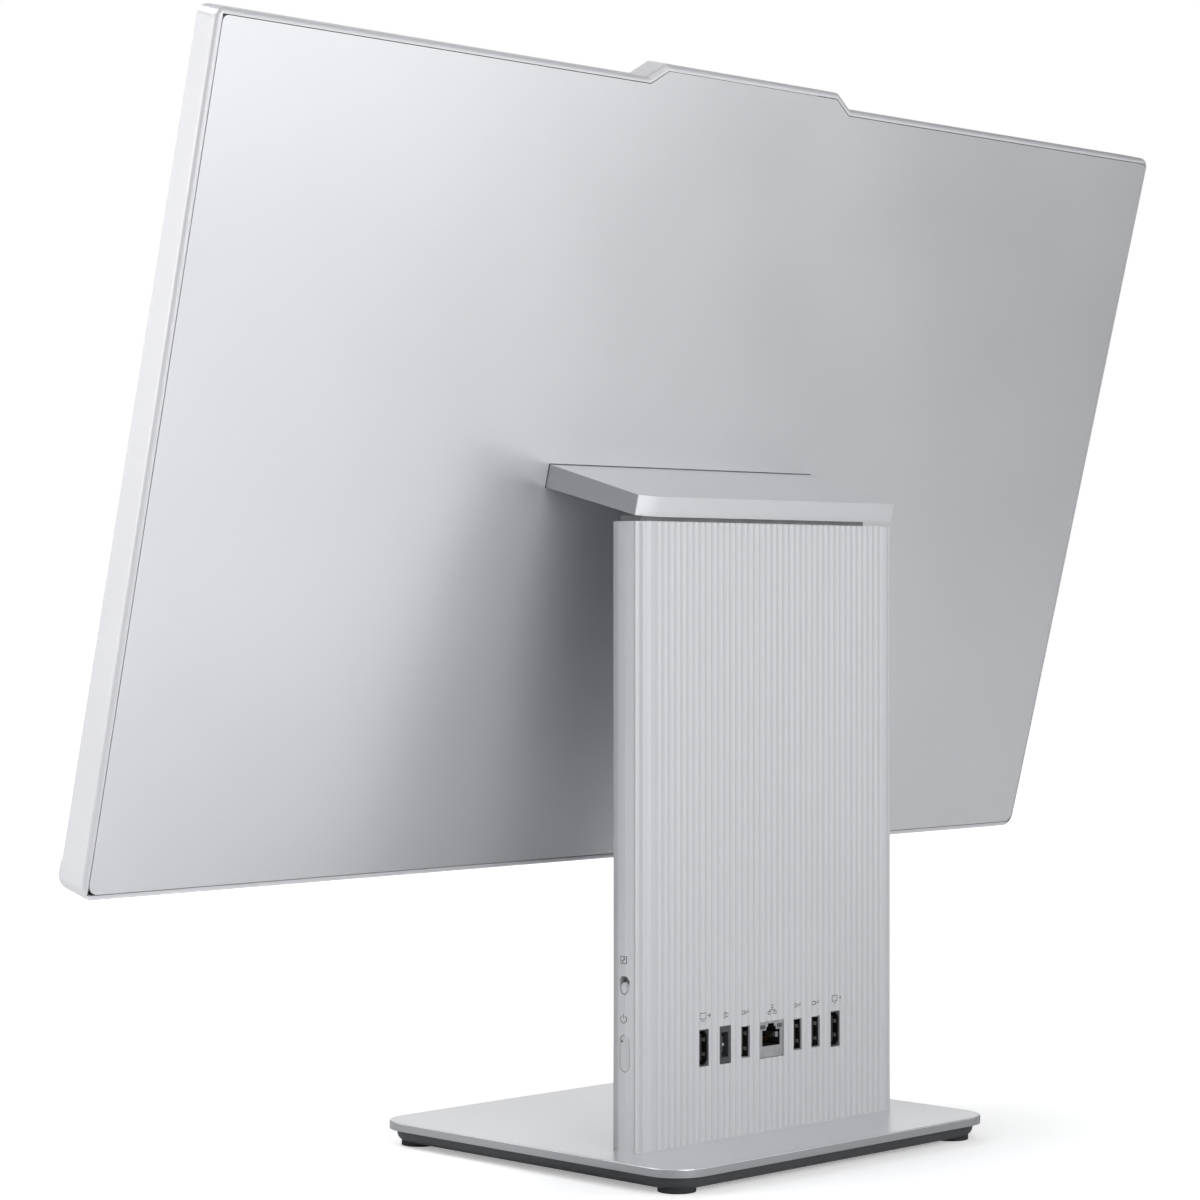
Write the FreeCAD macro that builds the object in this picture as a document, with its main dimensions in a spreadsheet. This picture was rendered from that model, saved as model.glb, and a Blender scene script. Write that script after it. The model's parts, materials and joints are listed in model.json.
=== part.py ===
import FreeCAD, Part
import math
import os
import re

import Sketcher

# All-in-one desktop computer: a display that tilts on a slim computer column, on a flat base.
# Row frame: +Z up, the screen faces -Y, the ports face +Y, +X is the button side.
# The origin is on the desk at the middle of the base.  Millimetres and degrees throughout.

DIMENSIONS = {
    # base
    "plate_width": 214.3,
    "plate_depth": 193.3,
    "plate_thickness": 3.7,
    "plate_top": 11.5,
    "plate_corner": 17.0,
    "plate_edge": 0.5,
    "tray_inset": 3.5,
    "tray_floor": 1.8,
    "tray_rounding": 4.5,
    "tray_wall": 9.0,
    "tray_base": 1.6,
    "weight_play": 0.4,
    "foot_diameter": 16.6,
    "foot_height": 3.0,
    "foot_inset": 14.8,
    "foot_play": 0.2,
    "base_bolt_x": 60.0,
    "base_bolt_front": 34.0,
    "base_bolt_rear": 44.0,
    "bolt_hole": 4.1,
    "bolt_shank": 4.0,
    "bolt_head": 7.6,
    "bolt_head_height": 2.4,
    "bolt_reach": 3.0,
    # column shell
    "column_half": 87.2,
    "column_rear": 54.1,
    "column_front": 18.0,
    "column_top": 285.2,
    "column_corner": 8.1,
    "shell_wall": 2.2,
    "rear_seam": 50.35,
    "trim_rear": 50.1,
    "trim_front": 41.8,
    "trim_crease": 46.0,
    "trim_rear_half": 85.9,
    "trim_inner": 83.6,
    "front_seam": 41.55,
    "front_wall": 2.0,
    "nose_half": 62.0,
    "nose_bevel_half": 68.0,
    "nose_bevel_depth": 2.6,
    "flank_half": 85.2,
    "flank_depth": 18.8,
    "cheek_half": 86.9,
    "cheek_depth": 21.8,
    "air_slot_width": 2.4,
    "air_slot_length": 36.0,
    "air_slot_z": 70.0,
    "air_slot_pitch": 6.5,
    "air_slot_count": 17,
    "flute_pitch": 3.942,
    "flute_count": 39,
    "flute_depth": 0.45,
    "flute_land": 0.5,
    "neck_half": 74.8,
    "neck_rear": 43.5,
    "neck_top": 288.0,
    "neck_front": 24.0,
    "neck_corner_half": 66.0,
    "neck_corner_depth": 7.0,
    "lid_thickness": 2.0,
    "lid_play": 0.2,
    "lid_rear_half": 79.2,
    "hinge_window_inner": 32.5,
    "hinge_window_outer": 62.0,
    "hinge_window_reach": 7.8,
    "vent_width": 3.0,
    "vent_pitch": 5.75,
    "vent_count": 9,
    "vent_reach": 7.0,
    # column structure and boards
    "frame_front": 28.0,
    "frame_sheet": 1.5,
    "frame_half": 72.0,
    "frame_top": 276.0,
    "frame_foot_rear": 50.0,
    "frame_foot": 2.0,
    "frame_shelf_rear": 46.0,
    "cable_window_z": 246.0,
    "cable_window_width": 60.0,
    "cable_window_height": 24.0,
    "board_front": 35.4,
    "board_thickness": 1.6,
    "board_half": 70.0,
    "board_low": 24.0,
    "board_high": 232.0,
    "board_screw_x": 62.0,
    "screw_low": 34.0,
    "screw_middle": 130.0,
    "screw_high": 224.0,
    "screw_thread": 3.0,
    "screw_head": 6.0,
    "screw_head_height": 1.4,
    "processor_x": -36.0,
    "processor_z": 210.0,
    "processor_side": 37.5,
    "processor_height": 1.6,
    "memory_left": -66.0,
    "memory_right": 4.0,
    "memory_low": 78.0,
    "memory_pitch": 40.0,
    "memory_length": 28.0,
    "memory_edge": 1.2,
    "socket_length": 6.0,
    "socket_height": 5.5,
    "card_lift": 2.0,
    "drive_left": 14.0,
    "drive_right": 36.0,
    "drive_low": 76.0,
    "drive_high": 156.0,
    "drive_thickness": 2.2,
    "radio_left": 44.0,
    "radio_right": 66.0,
    "radio_low": 80.0,
    "radio_high": 110.0,
    "radio_thickness": 1.8,
    "battery_x": 50.0,
    "battery_z": 170.0,
    "battery_diameter": 20.0,
    "battery_height": 3.2,
    "cold_plate_side": 44.0,
    "cold_plate_thickness": 1.2,
    "pipe_diameter": 4.4,
    "pipe_y": 42.0,
    "pipe_start": 190.0,
    "pipe_end": 62.0,
    "pipe_bend": 12.0,
    "fins_width": 64.0,
    "fins_low": 254.0,
    "fins_high": 272.0,
    "fins_front": 44.2,
    "fins_rear": 50.6,
    "fin_thickness": 0.6,
    "fin_base": 1.0,
    "fin_count": 20,
    "fan_x": 32.0,
    "fan_height": 220.0,
    "fan_half": 32.0,
    "fan_front": 38.5,
    "fan_depth": 12.0,
    "fan_wall": 1.0,
    "rotor_radius": 24.0,
    "rotor_shaft": 2.0,
    "rotor_bore": 2.08,
    "rotor_hub": 22.0,
    "rotor_cup": 18.0,
    "rotor_front": 2.0,
    "rotor_rear": 9.5,
    "blade_count": 17,
    "chamber_play": 3.0,
    "boss_diameter": 6.0,
    "boss_depth": 6.0,
    "coil_diameter": 15.0,
    "coil_depth": 5.0,
    "inlet_diameter": 38.0,
    # ports
    "port_height": 53.2,
    "port_face": 53.3,
    "port_gap": 0.15,
    "hdmi_width": 6.1,
    "hdmi_height": 16.1,
    "hdmi_in_x": 45.5,
    "hdmi_out_x": -43.1,
    "power_x": 31.4,
    "power_width": 7.2,
    "power_height": 16.6,
    "usb_width": 5.8,
    "usb_height": 14.0,
    "usb_near_x": 18.3,
    "usb_middle_x": -16.8,
    "usb_far_x": -29.3,
    "plug_depth": 11.0,
    "cavity_edge": 0.35,
    "hdmi_chamfer": 1.6,
    "hdmi_cut": 1.9,
    "hdmi_corner": 1.3,
    "power_cavity_width": 4.4,
    "power_cavity_height": 11.0,
    "lan_depth": 13.0,
    "lan_x": 0.6,
    "lan_size": 16.1,
    "lan_height": 52.7,
    # side buttons
    "button_y": 45.2,
    "button_width": 5.6,
    "power_button_z": 54.0,
    "power_button_length": 16.2,
    "mode_button_z": 83.7,
    "mode_button_length": 8.2,
    "button_gap": 0.2,
    "button_face": 86.8,
    "flange_rear": 1.5,
    "flange_front": 0.3,
    "flange_lap": 1.0,
    "light_diameter": 1.1,
    "light_forward": 1.6,
    "light_up": 5.2,
    "mode_drop": 1.3,
    "switch_side": 5.2,
    "switch_face": 81.3,
    "button_board_inner": 78.6,
    "button_board_outer": 80.2,
    # hinge
    "axis_y": 33.8,
    "axis_z": 291.6,
    "axis_to_back": 38.37,
    "axis_height": 175.96,
    "rest_tilt": 14.32,
    "knuckle_radius": 5.0,
    "pin_diameter": 6.0,
    "pin_bore": 6.1,
    "pin_press": 0.04,
    "pin_head": 9.2,
    "ear_inner": 38.0,
    "ear_outer": 44.0,
    "arm_inner": 45.1,
    "arm_outer": 54.9,
    "arm_foot_inner": 42.5,
    "arm_foot_outer": 57.5,
    "arm_slot_inner": 41.5,
    "arm_slot_outer": 58.5,
    "arm_slot_low": 177.7,
    "arm_slot_high": 181.0,
    "washer_diameter": 9.6,
    "washer_play": 0.1,
    "nut_inner": 56.4,
    "nut_outer": 59.4,
    "nut_corner": 4.6,
    "bracket_half": 64.0,
    "bracket_plate": 3.0,
    # display, measured on its back plane upward from the bottom seam
    "seam_half": 304.5,
    "seam_height": 358.5,
    "seam_gap": 0.35,
    "rim": 2.64,
    "bump_low_half": 66.7,
    "bump_high_half": 56.5,
    "bump_rise": 6.7,
    "depth_low": 16.95,
    "depth_high": 13.1,
    "chin_height": 13.54,
    "chin_proud": 2.6,
    "chin_joint": 15.9,
    "chin_gap": 0.05,
    "chin_rounding": 3.0,
    "chin_top_rounding": 1.0,
    "cover_thickness": 2.0,
    "corner_high": 5.0,
    "corner_low": 7.0,
    "rim_rounding": 2.4,
    # cap over the hinge
    "cap_half": 87.5,
    "cap_length": 56.3,
    "cap_flank_lean": 3.6,
    "cap_crease": 53.6,
    "cap_bevel_half": 78.0,
    "cap_bevel": 55.4,
    "cap_flat_half": 72.0,
    "cap_square_half": 87.3,
    "cap_square": 56.0,
    "cap_edge_radius": 1.0,
    "cap_bottom": 176.0,
    "cap_root_top": 186.4,
    "cap_rear_top": 184.9,
    "cap_wall": 2.0,
    "cap_floor_play": 0.3,
    "cap_floor_thickness": 1.4,
    # screen stack, measured from the front plane backward
    "window_half": 298.95,
    "window_low": 18.6,
    "window_high": 354.9,
    "panel_half": 301.5,
    "panel_low": 15.0,
    "panel_high": 357.0,
    "lens_height": 361.2,
    "bezel_front": 0.1,
    "bezel_rear": 1.3,
    "lens_opening": 5.0,
    "shutter_slot_left": 5.4,
    "shutter_slot_right": 17.3,
    "shutter_slot_reach": 1.6,
    "shutter_left": 4.2,
    "shutter_right": 18.0,
    "shutter_reach": 2.9,
    "shutter_front": 1.45,
    "shutter_rear": 1.75,
    "knob_left": 13.0,
    "knob_right": 17.0,
    "knob_front": -0.3,
    "knob_reach": 1.3,
    "microphone_x": 40.0,
    "microphone_opening": 1.2,
    "microphone_side": 4.0,
    "panel_front": 1.4,
    "panel_rear": 2.8,
    "light_front": 3.0,
    "light_rear": 7.0,
    "chassis_rear": 8.2,
    "driver_left": -120.0,
    "driver_right": 60.0,
    "driver_low": 60.0,
    "driver_high": 98.0,
    "driver_front": 8.4,
    "driver_rear": 10.0,
    "speaker_inner": 150.0,
    "speaker_outer": 250.0,
    "speaker_low": 18.0,
    "speaker_high": 44.0,
    "speaker_front": 8.5,
    "speaker_rear": 14.0,
    "camera_board_half": 24.0,
    "camera_board_front": 4.0,
    "camera_board_rear": 5.0,
    "camera_board_low": 358.0,
    "camera_board_high": 366.4,
    "barrel_diameter": 6.4,
    "barrel_front": 2.0,
    "sound_slot_start": 150.0,
    "sound_slot_length": 8.0,
    "sound_slot_pitch": 11.0,
    "sound_slot_count": 10,
    "sound_slot_rear": 10.6,
    "sound_slot_front": 12.0,
}

doc = FreeCAD.newDocument("all_in_one_pc")
sheet = doc.addObject("Spreadsheet::Sheet", "dims")
for row, (alias, number) in enumerate(DIMENSIONS.items(), start=1):
    sheet.set(f"A{row}", alias)
    sheet.set(f"B{row}", str(number))
    sheet.setAlias(f"B{row}", alias)
doc.recompute()

WORD = re.compile(r"[a-z][a-z_]*[a-z]")
LEFT_AND_RIGHT = (-1, 1)
subparts = []


# ---------------------------------------------------------------- building blocks

def bound(text):
    """Expression text in which every dimension's name points at its sheet cell."""
    return WORD.sub(lambda m: "dims." + m.group() if m.group() in DIMENSIONS else m.group(), str(text))


def value(text):
    """The number that an expression has now."""
    return float(sheet.evalExpression(bound(text)))


def bind(feature, path, text):
    feature.setExpression(path, bound(text))


def origin_feature(body, role):
    return next(item for item in body.Origin.OriginFeatures if item.Role == role)


def keep(thing, label, placement=None):
    """Name a finished sub-part, place it, and list it for export."""
    thing.Label = label
    if placement is not None:
        thing.Placement = placement
    subparts.append(thing)
    return thing


def pin(sketch, geometry, point, across, up):
    """Hold one sketch point at sheet-driven coordinates."""
    for kind, text in (("DistanceX", across), ("DistanceY", up)):
        index = sketch.addConstraint(Sketcher.Constraint(kind, -1, 1, geometry, point, value(text)))
        bind(sketch, f"Constraints[{index}]", text)


def outline(*corners):
    """A closed straight-sided outline."""
    def draw(sketch):
        points = [FreeCAD.Vector(value(across), value(up), 0) for across, up in corners]
        first = sketch.GeometryCount
        for start, end in zip(points, points[1:] + points[:1]):
            sketch.addGeometry(Part.LineSegment(start, end), False)
        for index, (across, up) in enumerate(corners):
            follower = first + (index + 1) % len(corners)
            sketch.addConstraint(Sketcher.Constraint("Coincident", first + index, 2, follower, 1))
            pin(sketch, first + index, 1, across, up)
    return draw


def rectangle(left, right, low, high):
    return outline((left, low), (right, low), (right, high), (left, high))


def centred(across, up, width, height):
    """A rectangle about a middle point."""
    return rectangle(f"{across} - ({width}) / 2", f"{across} + ({width}) / 2",
                     f"{up} - ({height}) / 2", f"{up} + ({height}) / 2")


def disc(across, up, diameter):
    def draw(sketch):
        centre = FreeCAD.Vector(value(across), value(up), 0)
        circle = sketch.addGeometry(
            Part.Circle(centre, FreeCAD.Vector(0, 0, 1), value(diameter) / 2), False)
        pin(sketch, circle, 3, across, up)
        index = sketch.addConstraint(Sketcher.Constraint("Diameter", circle, value(diameter)))
        bind(sketch, f"Constraints[{index}]", diameter)
    return draw


def mirrored_outline(*half):
    """An outline symmetric about the upright axis, from the points of its right half."""
    return outline(*half, *[(f"-({across})", up) for across, up in reversed(half)])


def obround(across, up, width, length):
    """An upright slot with round ends."""
    def draw(sketch):
        radius = value(width) / 2
        reach = (value(length) - value(width)) / 2
        x, y = value(across), value(up)
        first = sketch.GeometryCount
        for centre_y, start, end in ((y + reach, 0, math.pi), (y - reach, math.pi, 2 * math.pi)):
            circle = Part.Circle(FreeCAD.Vector(x, centre_y, 0), FreeCAD.Vector(0, 0, 1), radius)
            sketch.addGeometry(Part.ArcOfCircle(circle, start, end), False)
        for side, start, end in ((-1, reach, -reach), (1, -reach, reach)):
            sketch.addGeometry(Part.LineSegment(FreeCAD.Vector(x + side * radius, y + start, 0),
                                                FreeCAD.Vector(x + side * radius, y + end, 0)), False)
        top, bottom, left, right = range(first, first + 4)
        joints = ((top, 2, left, 1), (left, 2, bottom, 1), (bottom, 2, right, 1), (right, 2, top, 1))
        for joint in joints:
            sketch.addConstraint(Sketcher.Constraint("Tangent", *joint))
        sketch.addConstraint(Sketcher.Constraint("Vertical", left))
        pin(sketch, top, 3, across, f"{up} + (({length}) - ({width})) / 2")
        pin(sketch, bottom, 3, across, f"{up} - (({length}) - ({width})) / 2")
        index = sketch.addConstraint(Sketcher.Constraint("Radius", top, radius))
        bind(sketch, f"Constraints[{index}]", f"({width}) / 2")
    return draw


def sketch_between(body, name, role, low, high, shapes):
    """A sketch on the near face of the slice from low to high along a plane's own axis."""
    sketch = body.newObject("Sketcher::SketchObject", name)
    sketch.AttachmentSupport = (origin_feature(body, role), [""])
    sketch.MapMode = "FlatFace"
    offset = f"-({high})" if role == "XZ_Plane" else low
    bind(sketch, "AttachmentOffset.Base.z", offset)
    for draw in shapes:
        draw(sketch)
    return sketch


def pad(body, name, role, low, high, *shapes):
    """Add material between two coordinates along the axis across the plane."""
    feature = body.newObject("PartDesign::Pad", name)
    feature.Profile = sketch_between(body, name + "_outline", role, low, high, shapes)
    bind(feature, "Length", f"({high}) - ({low})")
    body.Tip = feature
    return feature


def pocket(body, name, role, low, high, *shapes):
    """Cut material between two coordinates along the axis across the plane."""
    feature = body.newObject("PartDesign::Pocket", name)
    feature.Profile = sketch_between(body, name + "_outline", role, low, high, shapes)
    feature.Reversed = True
    bind(feature, "Length", f"({high}) - ({low})")
    body.Tip = feature
    return feature


def repeat(body, name, feature, role, spacing, count):
    """Copy a feature along one of the body's own axes."""
    pattern = body.newObject("PartDesign::LinearPattern", name)
    pattern.Originals = [feature]
    pattern.Direction = (origin_feature(body, role), [""])
    bind(pattern, "Length", f"({spacing}) * (({count}) - 1)")
    bind(pattern, "Occurrences", count)
    body.Tip = pattern
    return pattern


def mirror(body, name, *features):
    """Copy features to the other side of the middle plane."""
    copy = body.newObject("PartDesign::Mirrored", name)
    copy.Originals = list(features)
    copy.MirrorPlane = (origin_feature(body, "YZ_Plane"), [""])
    body.Tip = copy
    return copy


def round_edges(body, name, radius, chosen):
    """Round the edges of the body so far that the test picks."""
    doc.recompute()
    base = body.Tip
    names = [f"Edge{number}" for number, edge in enumerate(base.Shape.Edges, start=1) if chosen(edge)]
    feature = body.newObject("PartDesign::Fillet", name)
    feature.Base = (base, names)
    bind(feature, "Radius", radius)
    body.Tip = feature
    return feature


def new_body(name):
    return doc.addObject("PartDesign::Body", name)


def runs_along(edge, axis):
    """True for a straight edge parallel to an axis given as X, Y or Z."""
    if not isinstance(edge.Curve, Part.Line):
        return False
    return abs(edge.Curve.Direction["XYZ".index(axis)]) > 0.999


def middle(edge):
    return edge.CenterOfGravity


def box(name, left, right, front, rear, low, high, placement=None):
    """A plain block; its corner is placed inside the frame that it belongs to."""
    block = doc.addObject("Part::Box", name)
    bind(block, "Length", f"({right}) - ({left})")
    bind(block, "Width", f"({rear}) - ({front})")
    bind(block, "Height", f"({high}) - ({low})")
    corner = FreeCAD.Placement(FreeCAD.Vector(value(left), value(front), value(low)), FreeCAD.Rotation())
    block.Placement = corner if placement is None else placement.multiply(corner)
    return block


def bundle(name, members):
    """Several separate solids that share one node."""
    group = doc.addObject("Part::Compound", name)
    group.Links = members
    return group


def mirrored_pair(name, source):
    """A solid and its mirror image on the other side, sharing one node."""
    twin = doc.addObject("Part::Mirroring", name + "_twin")
    twin.Source = source
    twin.Base = FreeCAD.Vector(0, 0, 0)
    twin.Normal = FreeCAD.Vector(1, 0, 0)
    return bundle(name, [source, twin])


TILT = FreeCAD.Rotation(FreeCAD.Vector(1, 0, 0), -value("rest_tilt"))
AXIS = FreeCAD.Vector(0, value("axis_y"), value("axis_z"))
TO_SEAM = FreeCAD.Vector(0, -value("axis_to_back"), -value("axis_height"))
# Display frame: X across, Y backward out of the flat back, Z up the back from the bottom seam.
DISPLAY = FreeCAD.Placement(AXIS + TILT.multVec(TO_SEAM), TILT)
WEDGE = math.degrees(math.atan2(value("depth_low - depth_high"), value("seam_height + 2 * rim")))
FRONT_CORNER = FreeCAD.Vector(0, -value("depth_low"), -value("rim"))
# Screen frame: Y backward from the front plane, Z up the front plane from the bottom edge.
SCREEN = DISPLAY.multiply(
    FreeCAD.Placement(FRONT_CORNER, FreeCAD.Rotation(FreeCAD.Vector(1, 0, 0), -WEDGE)))


# ---------------------------------------------------------------- base

TRAY_HALF_WIDTH = "(plate_width / 2 - tray_inset)"
TRAY_HALF_DEPTH = "(plate_depth / 2 - tray_inset)"
UNDERSIDE = "(plate_top - plate_thickness)"
BOLT_SPOTS = [(f"{side} * base_bolt_x", row) for side in LEFT_AND_RIGHT
              for row in ("base_bolt_front", "base_bolt_rear")]
FOOT_SPOTS = [(f"{x} * (plate_width / 2 - foot_inset)", f"{y} * (plate_depth / 2 - foot_inset)")
              for x in LEFT_AND_RIGHT for y in LEFT_AND_RIGHT]


def base_plate():
    body = new_body("base_plate")
    pad(body, "plate", "XY_Plane", UNDERSIDE, "plate_top",
        rectangle("-plate_width / 2", "plate_width / 2", "-plate_depth / 2", "plate_depth / 2"))
    round_edges(body, "plan_corners", "plate_corner", lambda edge: runs_along(edge, "Z"))
    round_edges(body, "top_edge", "plate_edge",
                lambda edge: abs(middle(edge).z - value("plate_top")) < 0.01)
    holes = [disc(*spot, "bolt_hole") for spot in BOLT_SPOTS]
    pocket(body, "bolt_holes", "XY_Plane", UNDERSIDE, "plate_top", *holes)
    keep(body, "base_plate")


def base_tray():
    """Dark pan under the plate, with a large rounding round its lower edge."""
    body = new_body("base_tray")
    pad(body, "pan", "XY_Plane", "tray_floor", UNDERSIDE,
        rectangle(f"-{TRAY_HALF_WIDTH}", TRAY_HALF_WIDTH, f"-{TRAY_HALF_DEPTH}", TRAY_HALF_DEPTH))
    round_edges(body, "plan_corners", "plate_corner - tray_inset", lambda edge: runs_along(edge, "Z"))
    round_edges(body, "lower_edge", "tray_rounding",
                lambda edge: abs(middle(edge).z - value("tray_floor")) < 0.01)
    pocket(body, "weight_space", "XY_Plane", "tray_floor + tray_base", UNDERSIDE,
           rectangle(f"-{TRAY_HALF_WIDTH} + tray_wall", f"{TRAY_HALF_WIDTH} - tray_wall",
                     f"-{TRAY_HALF_DEPTH} + tray_wall", f"{TRAY_HALF_DEPTH} - tray_wall"))
    pads = [disc(*spot, "foot_diameter + foot_play") for spot in FOOT_SPOTS]
    pocket(body, "foot_recesses", "XY_Plane", "0", "foot_height", *pads)
    keep(body, "base_tray")


def base_weight():
    """Steel plate that keeps the tall display from tipping the base."""
    body = new_body("base_weight")
    half_width = f"({TRAY_HALF_WIDTH} - tray_wall - weight_play)"
    half_depth = f"({TRAY_HALF_DEPTH} - tray_wall - weight_play)"
    pad(body, "slab", "XY_Plane", "tray_floor + tray_base", f"{UNDERSIDE} - weight_play",
        rectangle(f"-{half_width}", half_width, f"-{half_depth}", half_depth))
    holes = [disc(*spot, "bolt_head + 2 * weight_play") for spot in BOLT_SPOTS]
    pocket(body, "bolt_wells", "XY_Plane", "tray_floor", "plate_top", *holes)
    keep(body, "base_weight")


def base_feet():
    feet = []
    for across, along in FOOT_SPOTS:
        foot = doc.addObject("Part::Cylinder", "foot")
        bind(foot, "Radius", "foot_diameter / 2")
        bind(foot, "Height", "foot_height")
        foot.Placement.Base = FreeCAD.Vector(value(across), value(along), 0)
        feet.append(foot)
    keep(bundle("base_feet", feet), "base_feet")


def base_bolts():
    """Four bolts that hold the column frame down through the plate."""
    bolts = []
    for across, along in BOLT_SPOTS:
        spot = FreeCAD.Vector(value(across), value(along), value(UNDERSIDE))
        head = doc.addObject("Part::Cylinder", "bolt_head_part")
        bind(head, "Radius", "bolt_head / 2")
        bind(head, "Height", "bolt_head_height")
        head.Placement.Base = spot - FreeCAD.Vector(0, 0, value("bolt_head_height"))
        shank = doc.addObject("Part::Cylinder", "bolt_shank_part")
        bind(shank, "Radius", "bolt_shank / 2")
        bind(shank, "Height", "plate_thickness + bolt_reach")
        shank.Placement.Base = spot
        bolt = doc.addObject("Part::Fuse", "bolt")
        bolt.Base = head
        bolt.Tool = shank
        bolts.append(bolt)
    keep(bundle("base_bolts", bolts), "base_bolts")


# ---------------------------------------------------------------- column shell

PORTS = {
    # name: middle across, middle up, width, height
    "hdmi_input": ("hdmi_in_x", "port_height", "hdmi_width", "hdmi_height"),
    "power_socket": ("power_x", "port_height", "power_width", "power_height"),
    "usb_port_near": ("usb_near_x", "port_height", "usb_width", "usb_height"),
    "ethernet_port": ("lan_x", "lan_height", "lan_size", "lan_size"),
    "usb_port_middle": ("usb_middle_x", "port_height", "usb_width", "usb_height"),
    "usb_port_far": ("usb_far_x", "port_height", "usb_width", "usb_height"),
    "hdmi_output": ("hdmi_out_x", "port_height", "hdmi_width", "hdmi_height"),
}
FLUTE_CHORD = "(flute_pitch - flute_land)"
FLUTE_RADIUS = f"(({FLUTE_CHORD} ^ 2 / 4 + flute_depth ^ 2) / (2 * flute_depth))"


def column_rear_cover():
    """Fluted rear wall of the column with its two round corners and the port openings."""
    body = new_body("column_rear_cover")
    pad(body, "block", "XY_Plane", "plate_top", "column_top",
        rectangle("-column_half", "column_half", "trim_front", "column_rear"))
    round_edges(body, "corners", "column_corner",
                lambda edge: runs_along(edge, "Z") and middle(edge).y > value("rear_seam"))
    pocket(body, "hollow", "XY_Plane", "plate_top", "column_top", mirrored_outline(
        ("column_half - shell_wall - 0.2", "trim_front - 1"),
        ("column_half - shell_wall - 0.2", "column_rear - column_corner + 0.5"),
        ("column_half - column_corner + 0.5", "column_rear - shell_wall")))
    pocket(body, "seam_cut", "XY_Plane", "plate_top", "column_top",
           rectangle("-column_half - 1", "column_half + 1", "trim_front - 2", "rear_seam"))
    openings = [centred(x, z, f"{width} + 2 * port_gap", f"{height} + 2 * port_gap")
                for x, z, width, height in PORTS.values()]
    pocket(body, "port_openings", "XZ_Plane", "rear_seam", "column_rear + 1", *openings)
    flute = pocket(body, "flute", "XY_Plane", "plate_top", "column_top",
                   disc("-flute_pitch * (flute_count - 1) / 2",
                        f"column_rear - flute_depth + {FLUTE_RADIUS}", f"2 * {FLUTE_RADIUS}"))
    repeat(body, "flutes", flute, "X_Axis", "flute_pitch", "flute_count")
    corner_flutes = []
    for number, angle in enumerate((47.5, 75.0)):
        reach = f"(column_corner - flute_depth + {FLUTE_RADIUS})"
        corner_flutes.append(pocket(
            body, f"corner_flute_{number}", "XY_Plane", "plate_top", "column_top",
            disc(f"column_half - column_corner + {reach} * cos({angle})",
                 f"column_rear - column_corner + {reach} * sin({angle})", f"2 * {FLUTE_RADIUS}")))
    mirror(body, "other_corner", *corner_flutes)
    keep(body, "column_rear_cover")


def side_trim(label, has_buttons):
    """Narrow upright strip between the rear cover and the front cover."""
    body = new_body(label if has_buttons else label + "_source")
    pad(body, "strip", "XY_Plane", "plate_top", "column_top",
        outline(("trim_inner", "trim_front"), ("column_half", "trim_front"),
                ("column_half", "trim_crease"), ("trim_rear_half", "trim_rear"),
                ("trim_inner", "trim_rear")))
    if has_buttons:
        pocket(body, "button_holes", "YZ_Plane", "trim_inner - 1", "column_half + 1",
               obround("button_y", "power_button_z", "button_width", "power_button_length"),
               obround("button_y", "mode_button_z", "button_width", "mode_button_length"))
        keep(body, label)
        return
    twin = doc.addObject("Part::Mirroring", label)
    twin.Source = body
    twin.Normal = FreeCAD.Vector(1, 0, 0)
    keep(twin, label)


def flank(inset):
    """Right half of the front cover's nose and sloping flank, moved inward by an inset."""
    return (
        (f"nose_half - 0.35 * ({inset})", f"column_front + ({inset})"),
        (f"nose_bevel_half - 0.5 * ({inset})", f"column_front + nose_bevel_depth + 0.95 * ({inset})"),
        (f"flank_half - 0.75 * ({inset})", f"column_front + flank_depth + 0.7 * ({inset})"))


def column_front_cover():
    """Front shell of the column; its flanks slope inward towards the display."""
    body = new_body("column_front_cover")
    pad(body, "shell", "XY_Plane", "plate_top", "column_top", mirrored_outline(
        *flank("0"), ("cheek_half", "column_front + cheek_depth"), ("cheek_half", "front_seam")))
    pocket(body, "hollow", "XY_Plane", "plate_top", "column_top", mirrored_outline(
        *flank("front_wall"),
        ("cheek_half - front_wall", "column_front + cheek_depth + 0.25 * front_wall"),
        ("cheek_half - front_wall", "front_seam + 1")))
    slot = pocket(body, "air_slot", "XZ_Plane", "column_front - 1", "column_front + front_wall + 1",
                  obround("-air_slot_pitch * (air_slot_count - 1) / 2", "air_slot_z",
                          "air_slot_width", "air_slot_length"))
    repeat(body, "air_slots", slot, "X_Axis", "air_slot_pitch", "air_slot_count")
    keep(body, "column_front_cover")


def column_lid():
    """Lid in the top of the column with the raised neck that the cap hides."""
    body = new_body("column_lid")
    top = "(column_top - lid_play)"
    pad(body, "lid", "XY_Plane", f"{top} - lid_thickness", top,
        mirrored_outline(*flank("front_wall + 2 * lid_play"),
                         ("trim_inner - lid_play - 0.1", "column_rear - column_corner + 1.2"),
                         ("lid_rear_half", "column_rear - shell_wall - 0.3")))
    pad(body, "neck", "XY_Plane", top, "neck_top", mirrored_outline(
        ("neck_corner_half", "neck_front"), ("neck_half", "neck_front + neck_corner_depth"),
        ("neck_half", "neck_rear")))
    window_front = "axis_y - hinge_window_reach"
    window_rear = "axis_y + hinge_window_reach"
    pocket(body, "hinge_windows", "XY_Plane", "column_top - 5", "neck_top",
           rectangle("hinge_window_inner", "hinge_window_outer", window_front, window_rear),
           rectangle("-hinge_window_outer", "-hinge_window_inner", window_front, window_rear))
    vent_middle = "-vent_pitch * (vent_count - 1) / 2"
    vent = pocket(body, "vent", "XY_Plane", "column_top - 5", "neck_top",
                  centred(vent_middle, "axis_y", "vent_width", "2 * vent_reach"))
    repeat(body, "vents", vent, "X_Axis", "vent_pitch", "vent_count")
    keep(body, "column_lid")


# ---------------------------------------------------------------- column structure

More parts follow.
